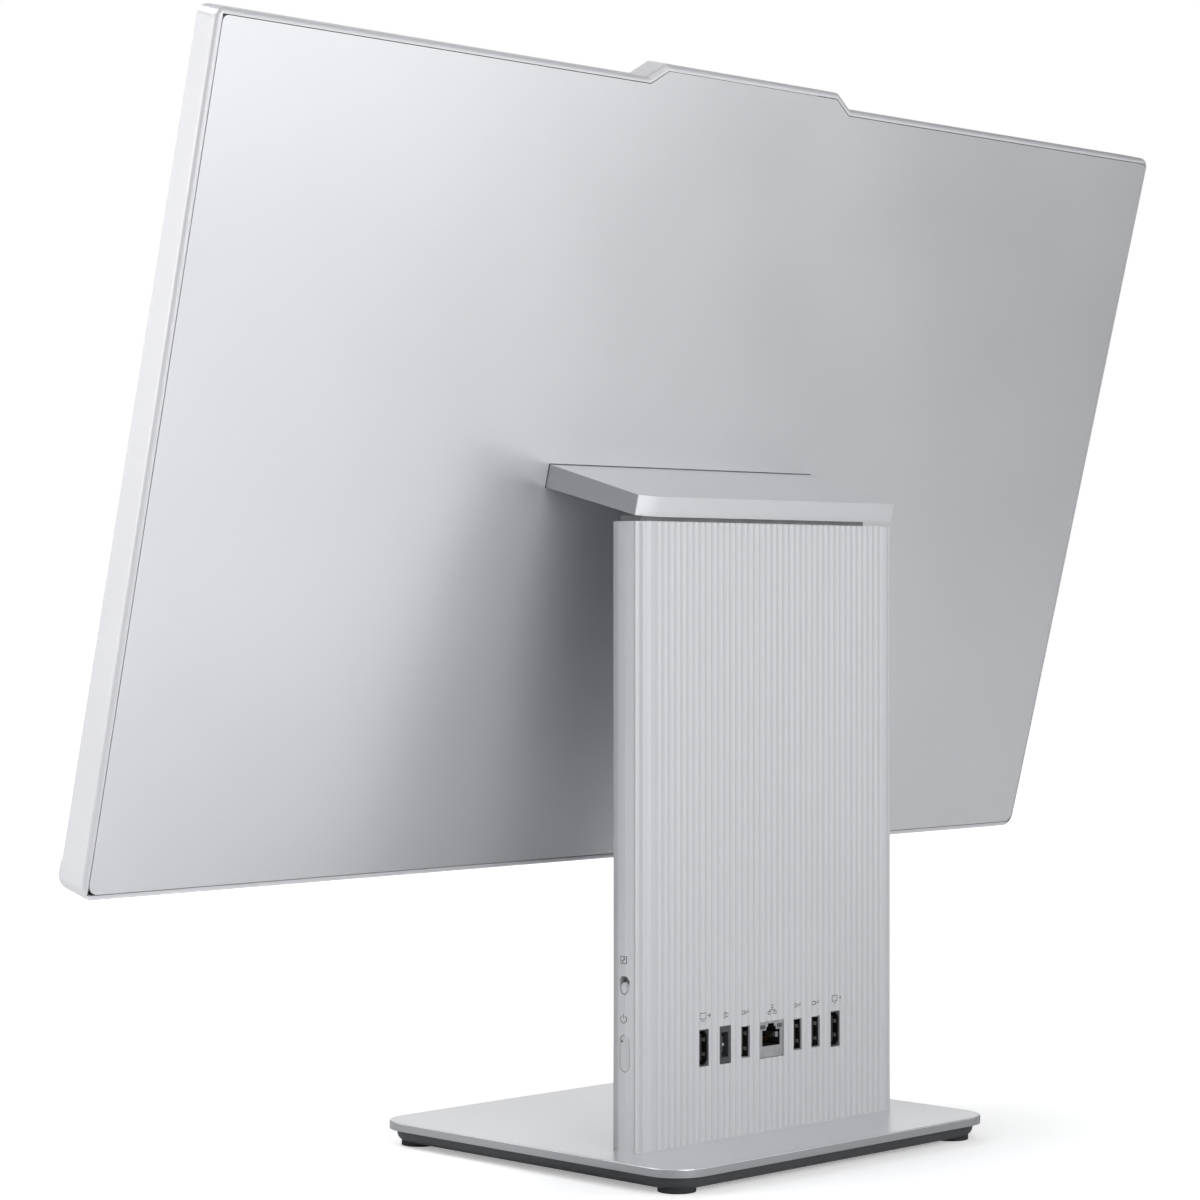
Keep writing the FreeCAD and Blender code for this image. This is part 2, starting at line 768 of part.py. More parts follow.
def column_frame():
    """Folded steel sheet that carries the display's weight to the base."""
    body = new_body("column_frame")
    rear = "frame_front + frame_sheet"
    pad(body, "sheet", "YZ_Plane", "-frame_half", "frame_half", outline(
        ("frame_front", "plate_top"), ("frame_foot_rear", "plate_top"),
        ("frame_foot_rear", "plate_top + frame_foot"), (rear, "plate_top + frame_foot"),
        (rear, "frame_top - frame_sheet"), ("frame_shelf_rear", "frame_top - frame_sheet"),
        ("frame_shelf_rear", "frame_top"), ("frame_front", "frame_top")))
    holes = [disc(*spot, "bolt_hole") for spot in BOLT_SPOTS]
    pocket(body, "bolt_holes", "XY_Plane", "plate_top - 1", "plate_top + frame_foot + 1", *holes)
    pocket(body, "cable_window", "XZ_Plane", "frame_front - 1", f"{rear} + 1",
           centred("0", "cable_window_z", "cable_window_width", "cable_window_height"))
    keep(body, "column_frame")


def hinge_bracket():
    """Steel foot with two upright ears that hold the hinge pins."""
    body = new_body("hinge_bracket")
    pad(body, "foot_plate", "XY_Plane", "frame_top", "frame_top + bracket_plate",
        rectangle("-bracket_half", "bracket_half", "axis_y - 7", "axis_y + 11"))
    for name, low, high in (("right_ear", "ear_inner", "ear_outer"),
                            ("left_ear", "-ear_outer", "-ear_inner")):
        pad(body, name, "YZ_Plane", low, high,
            rectangle("axis_y - knuckle_radius", "axis_y + knuckle_radius", "frame_top + 1", "axis_z"))
        pad(body, name + "_eye", "YZ_Plane", low, high, disc("axis_y", "axis_z", "2 * knuckle_radius"))
    pocket(body, "pin_holes", "YZ_Plane", "-ear_outer - 1", "ear_outer + 1",
           disc("axis_y", "axis_z", "pin_diameter + pin_press"))
    keep(body, "hinge_bracket")


def hinge_pins():
    body = new_body("hinge_pin")
    pad(body, "shank", "YZ_Plane", "ear_inner - 2", "nut_outer + 0.6",
        disc("axis_y", "axis_z", "pin_diameter"))
    pad(body, "head", "YZ_Plane", "ear_inner - 3", "ear_inner - washer_play",
        disc("axis_y", "axis_z", "pin_head"))
    keep(mirrored_pair("hinge_pins", body), "hinge_pins")


def washer_pair(name, low, high):
    """A flat ring about the hinge axis, on both sides."""
    body = new_body(name)
    pad(body, "ring", "YZ_Plane", low, high,
        disc("axis_y", "axis_z", "washer_diameter"), disc("axis_y", "axis_z", "pin_bore"))
    return mirrored_pair(name + "_pair", body)


def friction_washers():
    inner_pair = washer_pair("washer_inside", "ear_outer + washer_play", "arm_inner - 2 * washer_play")
    outer_pair = washer_pair("washer_outside", "arm_outer + 2 * washer_play", "nut_inner - washer_play")
    keep(bundle("friction_washers", [inner_pair, outer_pair]), "friction_washers")


def hinge_nuts():
    """Six-sided nuts that squeeze the friction washers."""
    body = new_body("hinge_nut")
    corners = [(f"axis_y + nut_corner * cos({angle})", f"axis_z + nut_corner * sin({angle})")
               for angle in range(0, 360, 60)]
    pad(body, "hexagon", "YZ_Plane", "nut_inner", "nut_outer", outline(*corners))
    pocket(body, "thread", "YZ_Plane", "nut_inner - 1", "nut_outer + 1",
           disc("axis_y", "axis_z", "pin_diameter + pin_press"))
    keep(mirrored_pair("hinge_nuts", body), "hinge_nuts")


# ---------------------------------------------------------------- boards and cooling

BOARD_REAR = "(board_front + board_thickness)"
SCREW_ROWS = ("screw_low", "screw_middle", "screw_high")


def motherboard():
    body = new_body("motherboard")
    pad(body, "board", "XZ_Plane", "board_front", BOARD_REAR,
        rectangle("-board_half", "board_half", "board_low", "board_high"))
    holes = [disc(f"{side} * board_screw_x", row, "screw_thread + 0.3")
             for side in LEFT_AND_RIGHT for row in SCREW_ROWS]
    pocket(body, "screw_holes", "XZ_Plane", "board_front", BOARD_REAR, *holes)
    keep(body, "motherboard")


def standoffs_and_screws():
    """Pillars between the frame and the motherboard, and the screws in them."""
    pillars = []
    screws = []
    frame_rear = "frame_front + frame_sheet"
    for side in LEFT_AND_RIGHT:
        for row in SCREW_ROWS:
            spot = (f"{side} * board_screw_x", row)
            tag = f"{'left' if side < 0 else 'right'}_{row}"
            pillar = new_body("pillar_" + tag)
            pad(pillar, "pillar", "XZ_Plane", frame_rear, "board_front",
                disc(*spot, "screw_head"), disc(*spot, "screw_thread + 0.1"))
            pillars.append(pillar)
            screw = new_body("screw_" + tag)
            pad(screw, "shank", "XZ_Plane", f"{frame_rear} + 1", BOARD_REAR, disc(*spot, "screw_thread"))
            pad(screw, "head", "XZ_Plane", BOARD_REAR, f"{BOARD_REAR} + screw_head_height",
                disc(*spot, "screw_head"))
            screws.append(screw)
    keep(bundle("board_standoffs", pillars), "board_standoffs")
    keep(bundle("board_screws", screws), "board_screws")


def plate_on_board(label, across, up, side, near, far):
    """A square plate parallel to the motherboard, between two distances behind it."""
    keep(box(label, f"{across} - {side} / 2", f"{across} + {side} / 2", f"{BOARD_REAR} + {near}",
             f"{BOARD_REAR} + {far}", f"{up} - {side} / 2", f"{up} + {side} / 2"), label)


def processor_and_cold_plate():
    plate_on_board("processor", "processor_x", "processor_z", "processor_side", "0", "processor_height")
    plate_on_board("cold_plate", "processor_x", "processor_z", "cold_plate_side", "processor_height",
                   "processor_height + cold_plate_thickness")


def memory():
    """Two sockets on the board, and the modules that lie flat above them."""
    sockets = []
    modules = []
    for row in ("memory_low", "(memory_low + memory_pitch)"):
        sockets.append(box("socket", "memory_left", "memory_right", BOARD_REAR,
                           f"{BOARD_REAR} + socket_height", row, f"{row} + socket_length"))
        modules.append(box("module", "memory_left + memory_edge", "memory_right - memory_edge",
                           f"{BOARD_REAR} + card_lift", f"{BOARD_REAR} + card_lift + memory_edge",
                           f"{row} + socket_length", f"{row} + socket_length + memory_length"))
    keep(bundle("memory_sockets", sockets), "memory_sockets")
    keep(bundle("memory_modules", modules), "memory_modules")


def storage_drive():
    front = f"({BOARD_REAR} + card_lift)"
    keep(box("storage_drive", "drive_left", "drive_right", front, f"{front} + drive_thickness",
             "drive_low", "drive_high"), "storage_drive")


def radio_card():
    front = f"({BOARD_REAR} + card_lift)"
    keep(box("radio_card", "radio_left", "radio_right", front, f"{front} + radio_thickness",
             "radio_low", "radio_high"), "radio_card")


def clock_battery():
    body = new_body("clock_battery")
    pad(body, "cell", "XZ_Plane", BOARD_REAR, f"{BOARD_REAR} + battery_height",
        disc("battery_x", "battery_z", "battery_diameter"))
    keep(body, "clock_battery")


def heat_pipe(label, across, up):
    """Round pipe that rises from the cold plate and turns along the fins."""
    body = new_body(label)
    profile = sketch_between(body, "section", "XY_Plane", "pipe_start", "pipe_start",
                             [disc(across, "pipe_y", "pipe_diameter")])
    spine = sketch_between(body, "route", "XZ_Plane", "pipe_y", "pipe_y", [])
    bend = value("pipe_bend")
    x = value(across)
    z = value(up)
    start = FreeCAD.Vector(x, value("pipe_start"), 0)
    turn_in = FreeCAD.Vector(x, z - bend, 0)
    turn_out = FreeCAD.Vector(x + bend, z, 0)
    end = FreeCAD.Vector(value("pipe_end"), z, 0)
    circle = Part.Circle(FreeCAD.Vector(x + bend, z - bend, 0), FreeCAD.Vector(0, 0, 1), bend)
    spine.addGeometry(Part.LineSegment(start, turn_in), False)
    spine.addGeometry(Part.ArcOfCircle(circle, math.pi / 2, math.pi), False)
    spine.addGeometry(Part.LineSegment(turn_out, end), False)
    spine.addConstraint(Sketcher.Constraint("Tangent", 0, 2, 1, 2))
    spine.addConstraint(Sketcher.Constraint("Tangent", 1, 1, 2, 1))
    pin(spine, 0, 1, across, "pipe_start")
    pin(spine, 1, 3, f"{across} + pipe_bend", f"{up} - pipe_bend")
    pin(spine, 2, 2, "pipe_end", up)
    sweep = body.newObject("PartDesign::AdditivePipe", "pipe")
    sweep.Profile = profile
    sweep.Spine = (spine, [])
    body.Tip = sweep
    keep(body, label)


def cooling_fins():
    body = new_body("cooling_fins")
    pad(body, "base", "XZ_Plane", "fins_front", "fins_front + fin_base",
        rectangle("0", "fins_width", "fins_low", "fins_high"))
    fin = pad(body, "fin", "XZ_Plane", "fins_front + fin_base", "fins_rear",
              rectangle("0", "fin_thickness", "fins_low", "fins_high"))
    repeat(body, "fins", fin, "X_Axis", "(fins_width - fin_thickness) / (fin_count - 1)", "fin_count")
    keep(body, "cooling_fins")


def fan_housing():
    """Open box with a round chamber, a spout at the top and a boss for the rotor's shaft."""
    body = new_body("fan_housing")
    rear = "fan_front + fan_depth - fan_wall"
    pad(body, "block", "XZ_Plane", "fan_front", rear,
        rectangle("fan_x - fan_half", "fan_x + fan_half", "fan_height - fan_half", "fan_height + fan_half"))
    pocket(body, "chamber", "XZ_Plane", "fan_front + fan_wall", rear,
           disc("fan_x", "fan_height", "2 * (rotor_radius + chamber_play)"))
    pocket(body, "spout", "XZ_Plane", "fan_front + fan_wall", rear,
           rectangle("fan_x - rotor_radius - chamber_play", "fan_x + rotor_radius + chamber_play",
                     "fan_height", "fan_height + fan_half + 1"))
    pad(body, "boss", "XZ_Plane", "fan_front + fan_wall", "fan_front + boss_depth",
        disc("fan_x", "fan_height", "boss_diameter"))
    pocket(body, "bearing", "XZ_Plane", "fan_front + fan_wall", "fan_front + boss_depth",
           disc("fan_x", "fan_height", "rotor_bore"))
    keep(body, "fan_housing")


def fan_cover():
    body = new_body("fan_cover")
    rear = "fan_front + fan_depth"
    pad(body, "lid", "XZ_Plane", f"{rear} - fan_wall", rear,
        rectangle("fan_x - fan_half", "fan_x + fan_half", "fan_height - fan_half", "fan_height + fan_half"))
    pocket(body, "inlet", "XZ_Plane", f"{rear} - fan_wall", rear,
           disc("fan_x", "fan_height", "inlet_diameter"))
    keep(body, "fan_cover")


def fan_stator():
    body = new_body("fan_stator")
    pad(body, "coils", "XZ_Plane", "fan_front + fan_wall", "fan_front + coil_depth",
        disc("fan_x", "fan_height", "coil_diameter"), disc("fan_x", "fan_height", "boss_diameter + 0.1"))
    keep(body, "fan_stator")


def fan_rotor():
    """Cup, shaft and ring of blades that spin together, drawn about their own axis."""
    body = new_body("fan_rotor")
    low = "fan_front + rotor_front"
    high = "fan_front + rotor_rear"
    pad(body, "hub", "XZ_Plane", low, high, disc("0", "0", "rotor_hub"))
    pocket(body, "cup", "XZ_Plane", low, "fan_front + 7", disc("0", "0", "rotor_cup"))
    pad(body, "shaft", "XZ_Plane", "fan_front + 1.6", "fan_front + 7.5", disc("0", "0", "rotor_shaft"))
    blade = pad(body, "blade", "XZ_Plane", f"{low} + 0.6", high,
                outline(("10.2", "-0.5"), ("rotor_radius", "5"), ("rotor_radius - 0.8", "5.8"),
                        ("10.2", "0.7")))
    blades = body.newObject("PartDesign::PolarPattern", "blades")
    blades.Originals = [blade]
    blades.Axis = (origin_feature(body, "Y_Axis"), [""])
    blades.Angle = 360
    bind(blades, "Occurrences", "blade_count")
    body.Tip = blades
    centre = FreeCAD.Vector(value("fan_x"), 0, value("fan_height"))
    keep(body, "fan_rotor", FreeCAD.Placement(centre, FreeCAD.Rotation()))


# ---------------------------------------------------------------- ports

def port_body(name):
    """Block of a connector on the motherboard, ready for its cavity."""
    x, z, width, height = PORTS[name]
    body = new_body(name)
    pad(body, "block", "XZ_Plane", BOARD_REAR, "port_face", centred(x, z, width, height))
    return body


def hdmi_port(name):
    """Shell with two cut corners, and a thin tongue in its cavity."""
    x, z = PORTS[name][:2]
    body = port_body(name)
    round_edges(body, "cut_corners", "hdmi_corner",
                lambda edge: runs_along(edge, "Y") and middle(edge).x < value(x))
    reach = "(hdmi_width / 2 - 0.55)"
    rise = "(hdmi_height / 2 - 0.55)"
    pocket(body, "cavity", "XZ_Plane", "port_face - plug_depth", "port_face",
           outline((f"{x} + {reach}", f"{z} - {rise}"), (f"{x} + {reach}", f"{z} + {rise}"),
                   (f"{x} - {reach} + hdmi_chamfer", f"{z} + {rise}"),
                   (f"{x} - {reach}", f"{z} + {rise} - hdmi_cut"),
                   (f"{x} - {reach}", f"{z} - {rise} + hdmi_cut"),
                   (f"{x} - {reach} + hdmi_chamfer", f"{z} - {rise}")))
    pad(body, "tongue", "XZ_Plane", "port_face - plug_depth - 0.5", "port_face - 1.6",
        centred(f"{x} + 0.2", z, "1.4", "11.6"))
    keep(body, name)


def usb_ports():
    """Three upright USB sockets, each with its tongue."""
    sockets = []
    for name in ("usb_port_near", "usb_port_middle", "usb_port_far"):
        x, z, width, height = PORTS[name]
        body = port_body(name)
        pocket(body, "cavity", "XZ_Plane", "port_face - plug_depth", "port_face",
               centred(x, z, f"{width} - 2 * cavity_edge", f"{height} - 2 * cavity_edge"))
        pad(body, "tongue", "XZ_Plane", "port_face - plug_depth - 0.5", "port_face - 1.2",
            centred(f"{x} + 0.9", z, "1.9", "11.4"))
        sockets.append(body)
    keep(bundle("usb_ports", sockets), "usb_ports")


def power_socket():
    """Slim rectangular socket for the power adapter, with a flat centre contact."""
    x, z = PORTS["power_socket"][:2]
    body = port_body("power_socket")
    pocket(body, "cavity", "XZ_Plane", "port_face - plug_depth", "port_face",
           centred(x, z, "power_cavity_width", "power_cavity_height"))
    pad(body, "contact", "XZ_Plane", "port_face - plug_depth - 0.5", "port_face - 2",
        centred(x, z, "1.3", "7"))
    keep(body, "power_socket")


def ethernet_port():
    """Square network socket with its stepped latch notch and a solid foot."""
    x, z = PORTS["ethernet_port"][:2]
    body = port_body("ethernet_port")
    pocket(body, "cavity", "XZ_Plane", "port_face - lan_depth", "port_face", mirrored_at(
        x, ("5.9", f"{z} - 2.9"), ("5.9", f"{z} + 4.2"), ("3.2", f"{z} + 4.2"), ("3.2", f"{z} + 5.7"),
        ("2", f"{z} + 5.7"), ("2", f"{z} + 7.1")))
    keep(body, "ethernet_port")


def mirrored_at(across, *half):
    """An outline symmetric about an upright line, from half widths and heights."""
    right = [(f"{across} + {reach}", up) for reach, up in half]
    left = [(f"{across} - {reach}", up) for reach, up in reversed(half)]
    return outline(*right, *left)


# ---------------------------------------------------------------- side buttons

def button_board():
    """Small board behind the buttons, with one tact switch for each."""
    keep(box("button_board", "button_board_inner", "button_board_outer",
             "button_y - 6.7", "button_y + 4.3", "power_button_z - 14", "mode_button_z + 11.3"),
         "button_board")
    switches = [box("switch", "button_board_outer", "switch_face", "button_y - switch_side / 2",
                    "button_y + switch_side / 2", f"{z} - switch_side / 2", f"{z} + switch_side / 2")
                for z in ("power_button_z", "mode_button_z")]
    keep(bundle("tact_switches", switches), "tact_switches")


def flange(body, z, length):
    """Plate behind the trim that keeps a button in its hole."""
    pad(body, "flange", "YZ_Plane", "trim_inner - flange_rear", "trim_inner - flange_front",
        centred("button_y", z, "button_width + flange_lap", f"{length} + flange_lap"))


def power_button():
    """Obround push button with a flange behind the trim and a hole for its light."""
    body = new_body("power_button")
    pad(body, "stem", "YZ_Plane", "trim_inner - 0.6", "button_face",
        obround("button_y", "power_button_z", "button_width - 2 * button_gap",
                "power_button_length - 2 * button_gap"))
    flange(body, "power_button_z", "power_button_length")
    light_spot = ("button_y - light_forward", "power_button_z + light_up")
    pocket(body, "light_hole", "YZ_Plane", "trim_inner - flange_rear - 1", "button_face",
           disc(*light_spot, "light_diameter + 0.1"))
    keep(body, "power_button")
    light = new_body("power_light")
    pad(light, "pipe", "YZ_Plane", "trim_inner - flange_rear", "button_face - 0.05",
        disc(*light_spot, "light_diameter"))
    keep(light, "power_light")


def mode_button():
    """Short button low in its hole; the hole stays open above it."""
    body = new_body("mode_button")
    pad(body, "stem", "YZ_Plane", "trim_inner - 0.6", "button_face - 0.2",
        disc("button_y", "mode_button_z - mode_drop", "button_width - 2 * button_gap"))
    flange(body, "mode_button_z", "mode_button_length")
    keep(body, "mode_button")


# ---------------------------------------------------------------- hinge arms and cap

def hinge_arms():
    """Steel arms from the display that turn on the hinge pins."""
    body = new_body("hinge_arm")
    across = "axis_to_back"
    up = "axis_height"
    low = "arm_slot_low + 0.5"
    high = "arm_slot_high - 0.6"
    rear = "axis_to_back - 3"
    pad(body, "foot", "YZ_Plane", "arm_foot_inner", "arm_foot_outer", outline(
        ("-4.2", "150"), ("-2.3", "150"), ("-2.3", low), (rear, low), (rear, high), ("-4.2", high)))
    room = rectangle("26", "50", "160", "190")
    pocket(body, "ear_space", "YZ_Plane", "arm_foot_inner - 0.5", "arm_inner", room)
    pocket(body, "nut_space", "YZ_Plane", "arm_outer", "arm_foot_outer + 0.5", room)
    pad(body, "knuckle", "YZ_Plane", "arm_inner", "arm_outer", disc(across, up, "2 * knuckle_radius"))
    pocket(body, "pin_hole", "YZ_Plane", "arm_inner", "arm_outer", disc(across, up, "pin_bore"))
    keep(mirrored_pair("hinge_arms", body), "hinge_arms", DISPLAY)


def display_bracket():
    keep(box("display_bracket", "-70", "70", "-6.3", "-4.3", "112", "184", DISPLAY), "display_bracket")


def arm_slots():
    """Outlines of the two slots that the hinge arms pass through."""
    return (rectangle("arm_slot_inner", "arm_slot_outer", "arm_slot_low", "arm_slot_high"),
            rectangle("-arm_slot_outer", "-arm_slot_inner", "arm_slot_low", "arm_slot_high"))


def cap_outline(root, inset):
    """The cap's plan; the button-side rear corner is cut back in two flats, the other is square."""
    return outline(
        (f"cap_half - ({inset})", root),
        (f"cap_half - cap_flank_lean - ({inset})", f"cap_crease - ({inset})"),
        (f"cap_bevel_half - 0.5 * ({inset})", f"cap_bevel - ({inset})"),
        ("cap_flat_half", f"cap_length - ({inset})"),
        ("-cap_flat_half", f"cap_length - ({inset})"),
        (f"-cap_square_half + ({inset})", f"cap_square - ({inset})"),
        (f"-cap_half + ({inset})", root))


def hinge_cap():
    """Hollow slab on the display's back that covers the hinge."""
    body = new_body("hinge_cap")
    pad(body, "slab", "XY_Plane", "cap_bottom", "cap_root_top", cap_outline("0", "0"))
    round_edges(body, "rear_corners", "cap_edge_radius",
                lambda edge: runs_along(edge, "Z") and middle(edge).y > value("cap_crease") - 1
                and abs(middle(edge).x) > value("cap_bevel_half") + 1)
    pocket(body, "slope", "YZ_Plane", "-cap_half - 1", "cap_half + 1", outline(
        ("0", "cap_root_top"), ("cap_length + 1", "cap_rear_top"), ("cap_length + 1", "cap_root_top + 1"),
        ("0", "cap_root_top + 1")))
    pocket(body, "hollow", "XY_Plane", "cap_bottom", "cap_rear_top - cap_wall",
           cap_outline("cap_wall", "cap_wall"))
    pocket(body, "arm_slots", "XZ_Plane", "-1", "cap_wall", *arm_slots())
    keep(body, "hinge_cap", DISPLAY)


def cap_floor():
    """Plate that closes the cap from below, open round the hinge ears."""
    body = new_body("cap_floor")
    inset = "cap_wall + cap_floor_play"
    pad(body, "plate", "XY_Plane", "cap_bottom + 0.2", "cap_bottom + 0.2 + cap_floor_thickness",
        cap_outline(inset, inset))
    pocket(body, "hinge_windows", "XY_Plane", "cap_bottom", "cap_bottom + cap_floor_thickness + 1",
           rectangle("33.5", "61", "30.5", "46.5"), rectangle("-61", "-33.5", "30.5", "46.5"))
    keep(body, "cap_floor", DISPLAY)


# ---------------------------------------------------------------- display shell

def display_outline(margin):
    """Outline of the display's back, grown outward from the seam by a margin."""
    high = f"seam_height + {margin}"
    return mirrored_outline(
        (f"seam_half + {margin}", f"-({margin})"), (f"seam_half + {margin}", high),
        (f"bump_low_half + 0.5 * ({margin})", high),
        (f"bump_high_half + 0.5 * ({margin})", f"{high} + bump_rise"))


def round_outline(body, stage, inset):
    """Round the corners of the display's outline; an inner outline is rounded less."""
    def corner(low, high, side):
        def chosen(edge):
            spot = middle(edge)
            return runs_along(edge, "Y") and low <= spot.z <= high and abs(spot.x) >= side
        return chosen
    far = value("seam_half") - 5
    high = value("seam_height")
    round_edges(body, stage + "_low_corners", f"corner_low - {inset}", corner(-5, 5, far))
    round_edges(body, stage + "_high_corners", f"corner_high - {inset}", corner(high - 5, high + 5, far))


def display_frame():
    """Light rim round the display; it is deeper at the bottom than at the top."""
    body = new_body("display_frame")
    pad(body, "block", "XZ_Plane", "-depth_low", "0", display_outline("rim"))
    round_outline(body, "outer", "0")
    round_edges(body, "bump_corners", "3", lambda edge: runs_along(edge, "Y") and abs(middle(edge).x) < 80)
    round_edges(body, "rear_edge", "rim_rounding", lambda edge: abs(middle(edge).y) < 0.01)
    pocket(body, "front_slope", "YZ_Plane", "-seam_half - 5", "seam_half + 5", outline(
        ("-depth_low - 1", "-rim - 1"), ("-depth_low", "-rim"), ("-depth_high", "seam_height + rim"),
        ("-depth_high + 0.07", "seam_height + rim + bump_rise"),
        ("-depth_high + 0.08", "seam_height + rim + bump_rise + 1"),
        ("-depth_low - 1", "seam_height + rim + bump_rise + 1")))
    pocket(body, "middle", "XZ_Plane", "-depth_low - 1", "1", display_outline("0"))
    pocket(body, "chin_step", "XZ_Plane", "-depth_low - 1", "-chin_joint",
           rectangle("-seam_half - 5", "seam_half + 5", "-rim - 1", "chin_height - rim"))
    run = "sound_slot_pitch * (sound_slot_count - 1) + sound_slot_length"
    for name, start in (("right", "sound_slot_start"), ("left", f"(-sound_slot_start - ({run}))")):
        slot = pocket(body, name + "_sound_slot", "XY_Plane", "-rim - 1", "1",
                      rectangle(start, f"{start} + sound_slot_length", "-sound_slot_front",
                                "-sound_slot_rear"))
        repeat(body, name + "_sound_slots", slot, "X_Axis", "sound_slot_pitch", "sound_slot_count")
    keep(body, "display_frame", DISPLAY)


def display_rear_cover():
    """Flat back panel inside the rim, with slots for the hinge arms."""
    body = new_body("display_rear_cover")
    pad(body, "panel", "XZ_Plane", "-cover_thickness", "0", display_outline("-seam_gap"))
    round_outline(body, "panel", "rim + seam_gap")
    pocket(body, "arm_slots", "XZ_Plane", "-cover_thickness", "0",
           *arm_slots())
    keep(body, "display_rear_cover", DISPLAY)


def chin_cover():
    """Strip along the bottom of the screen that stands proud of the glass."""
    body = new_body("chin_cover")
    half = "seam_half + rim"
    front = "-depth_low - chin_proud"
    pad(body, "bar", "XZ_Plane", front, "-chin_joint - chin_gap",
        rectangle(f"-({half})", half, "-rim", "chin_height - rim - chin_gap"))
    round_edges(body, "low_corners", "corner_low",
                lambda edge: runs_along(edge, "Y") and middle(edge).z < 0)
    round_edges(body, "top_front_edge", "chin_top_rounding",
                lambda edge: runs_along(edge, "X") and middle(edge).z > 0
                and middle(edge).y < value(front) + 0.01)
    round_edges(body, "low_front_edge", "chin_rounding",
                lambda edge: runs_along(edge, "X") and middle(edge).z < 0
                and middle(edge).y < value(front) + 0.01)
    keep(body, "chin_cover", DISPLAY)


# ---------------------------------------------------------------- screen stack

def front_bezel():
    """Black border round the picture, with the camera, shutter and microphone openings."""
    body = new_body("front_bezel")
    top = "seam_height + rim - 0.3"
    pad(body, "border", "XZ_Plane", "bezel_front", "bezel_rear", mirrored_outline(
        ("seam_half - 0.3", "chin_height + 0.2"), ("seam_half - 0.3", top),
        ("bump_low_half - 0.5", top), ("bump_high_half - 0.5", f"{top} + bump_rise")))
    pocket(body, "window", "XZ_Plane", "0", "2",
           rectangle("-window_half", "window_half", "window_low", "window_high"))
    pocket(body, "camera_openings", "XZ_Plane", "0", "2", disc("0", "lens_height", "lens_opening"),
           rectangle("shutter_slot_left", "shutter_slot_right", "lens_height - shutter_slot_reach",
                     "lens_height + shutter_slot_reach"),
           disc("microphone_x", "lens_height", "microphone_opening"),
           disc("-microphone_x", "lens_height", "microphone_opening"))
    keep(body, "front_bezel", SCREEN)


def screen_layer(label, front, rear):
    keep(box(label, "-panel_half", "panel_half", front, rear, "panel_low", "panel_high", SCREEN), label)


def screen_stack():
    """Panel, backlight and chassis, with the driver board and the speakers behind them."""
    screen_layer("lcd_panel", "panel_front", "panel_rear")
    screen_layer("backlight_unit", "light_front", "light_rear")
    screen_layer("display_chassis", "light_rear + 0.2", "chassis_rear")
    keep(box("driver_board", "driver_left", "driver_right", "driver_front", "driver_rear",
             "driver_low", "driver_high", SCREEN), "driver_board")
    for label, left, right in (("speaker_right", "speaker_inner", "speaker_outer"),
                               ("speaker_left", "-speaker_outer", "-speaker_inner")):
        keep(box(label, left, right, "speaker_front", "speaker_rear", "speaker_low", "speaker_high",
                 SCREEN), label)


def camera():
    """Camera board and barrel behind the bezel's top edge."""
    keep(box("camera_board", "-camera_board_half", "camera_board_half", "camera_board_front",
             "camera_board_rear", "camera_board_low", "camera_board_high", SCREEN), "camera_board")
    barrel = new_body("camera_barrel")
    pad(barrel, "barrel", "XZ_Plane", "barrel_front", "camera_board_front",
        disc("0", "lens_height", "barrel_diameter"))
    keep(barrel, "camera_barrel", SCREEN)


def camera_shutter():
    """Thin blade behind the bezel, with the small knob that slides it over the lens."""
    body = new_body("camera_shutter")
    pad(body, "blade", "XZ_Plane", "shutter_front", "shutter_rear",
        rectangle("shutter_left", "shutter_right", "lens_height - shutter_reach",
                  "lens_height + shutter_reach"))
    pad(body, "knob", "XZ_Plane", "knob_front", "shutter_front + 0.05",
        rectangle("knob_left", "knob_right", "lens_height - knob_reach", "lens_height + knob_reach"))
    keep(body, "camera_shutter", SCREEN)


def microphones():
    pair = [box("microphone", f"{x} - microphone_side / 2", f"{x} + microphone_side / 2",
                "bezel_rear + 0.2", "bezel_rear + 1.3", "lens_height - 1.5", "lens_height + 1.5", SCREEN)
            for x in ("-microphone_x", "microphone_x")]
    keep(bundle("microphones", pair), "microphones")


# ---------------------------------------------------------------- build and export

base_plate()
base_tray()
base_weight()
base_feet()
base_bolts()
column_rear_cover()
side_trim("side_trim_right", True)
side_trim("side_trim_left", False)
column_front_cover()
column_lid()
column_frame()
hinge_bracket()
hinge_pins()
friction_washers()
hinge_nuts()
motherboard()
standoffs_and_screws()
processor_and_cold_plate()
memory()
storage_drive()
radio_card()
clock_battery()
heat_pipe("heat_pipe_outer", "-44", "266")
heat_pipe("heat_pipe_inner", "-30", "258")
cooling_fins()
fan_housing()
fan_cover()
fan_stator()
fan_rotor()
for port in ("hdmi_input", "hdmi_output"):
    hdmi_port(port)
usb_ports()
power_socket()
ethernet_port()
button_board()
power_button()
mode_button()
hinge_arms()
display_bracket()
hinge_cap()
cap_floor()
display_frame()
display_rear_cover()
chin_cover()
front_bezel()
screen_stack()
camera()
camera_shutter()
microphones()
doc.recompute()


def check(thing):
    """Stop on a failed feature, and on a cut that removed nothing."""
    if {"Invalid", "Error"} & set(thing.State):
        raise SystemExit(f"{thing.Label} ({thing.Name}) failed: {thing.State}")
    if thing.TypeId == "PartDesign::Pocket":
        before = thing.BaseFeature.Shape.Volume
        if thing.Shape.Volume > before - 1e-3:
            raise SystemExit(f"{thing.Label} ({thing.Name}) cuts nothing")


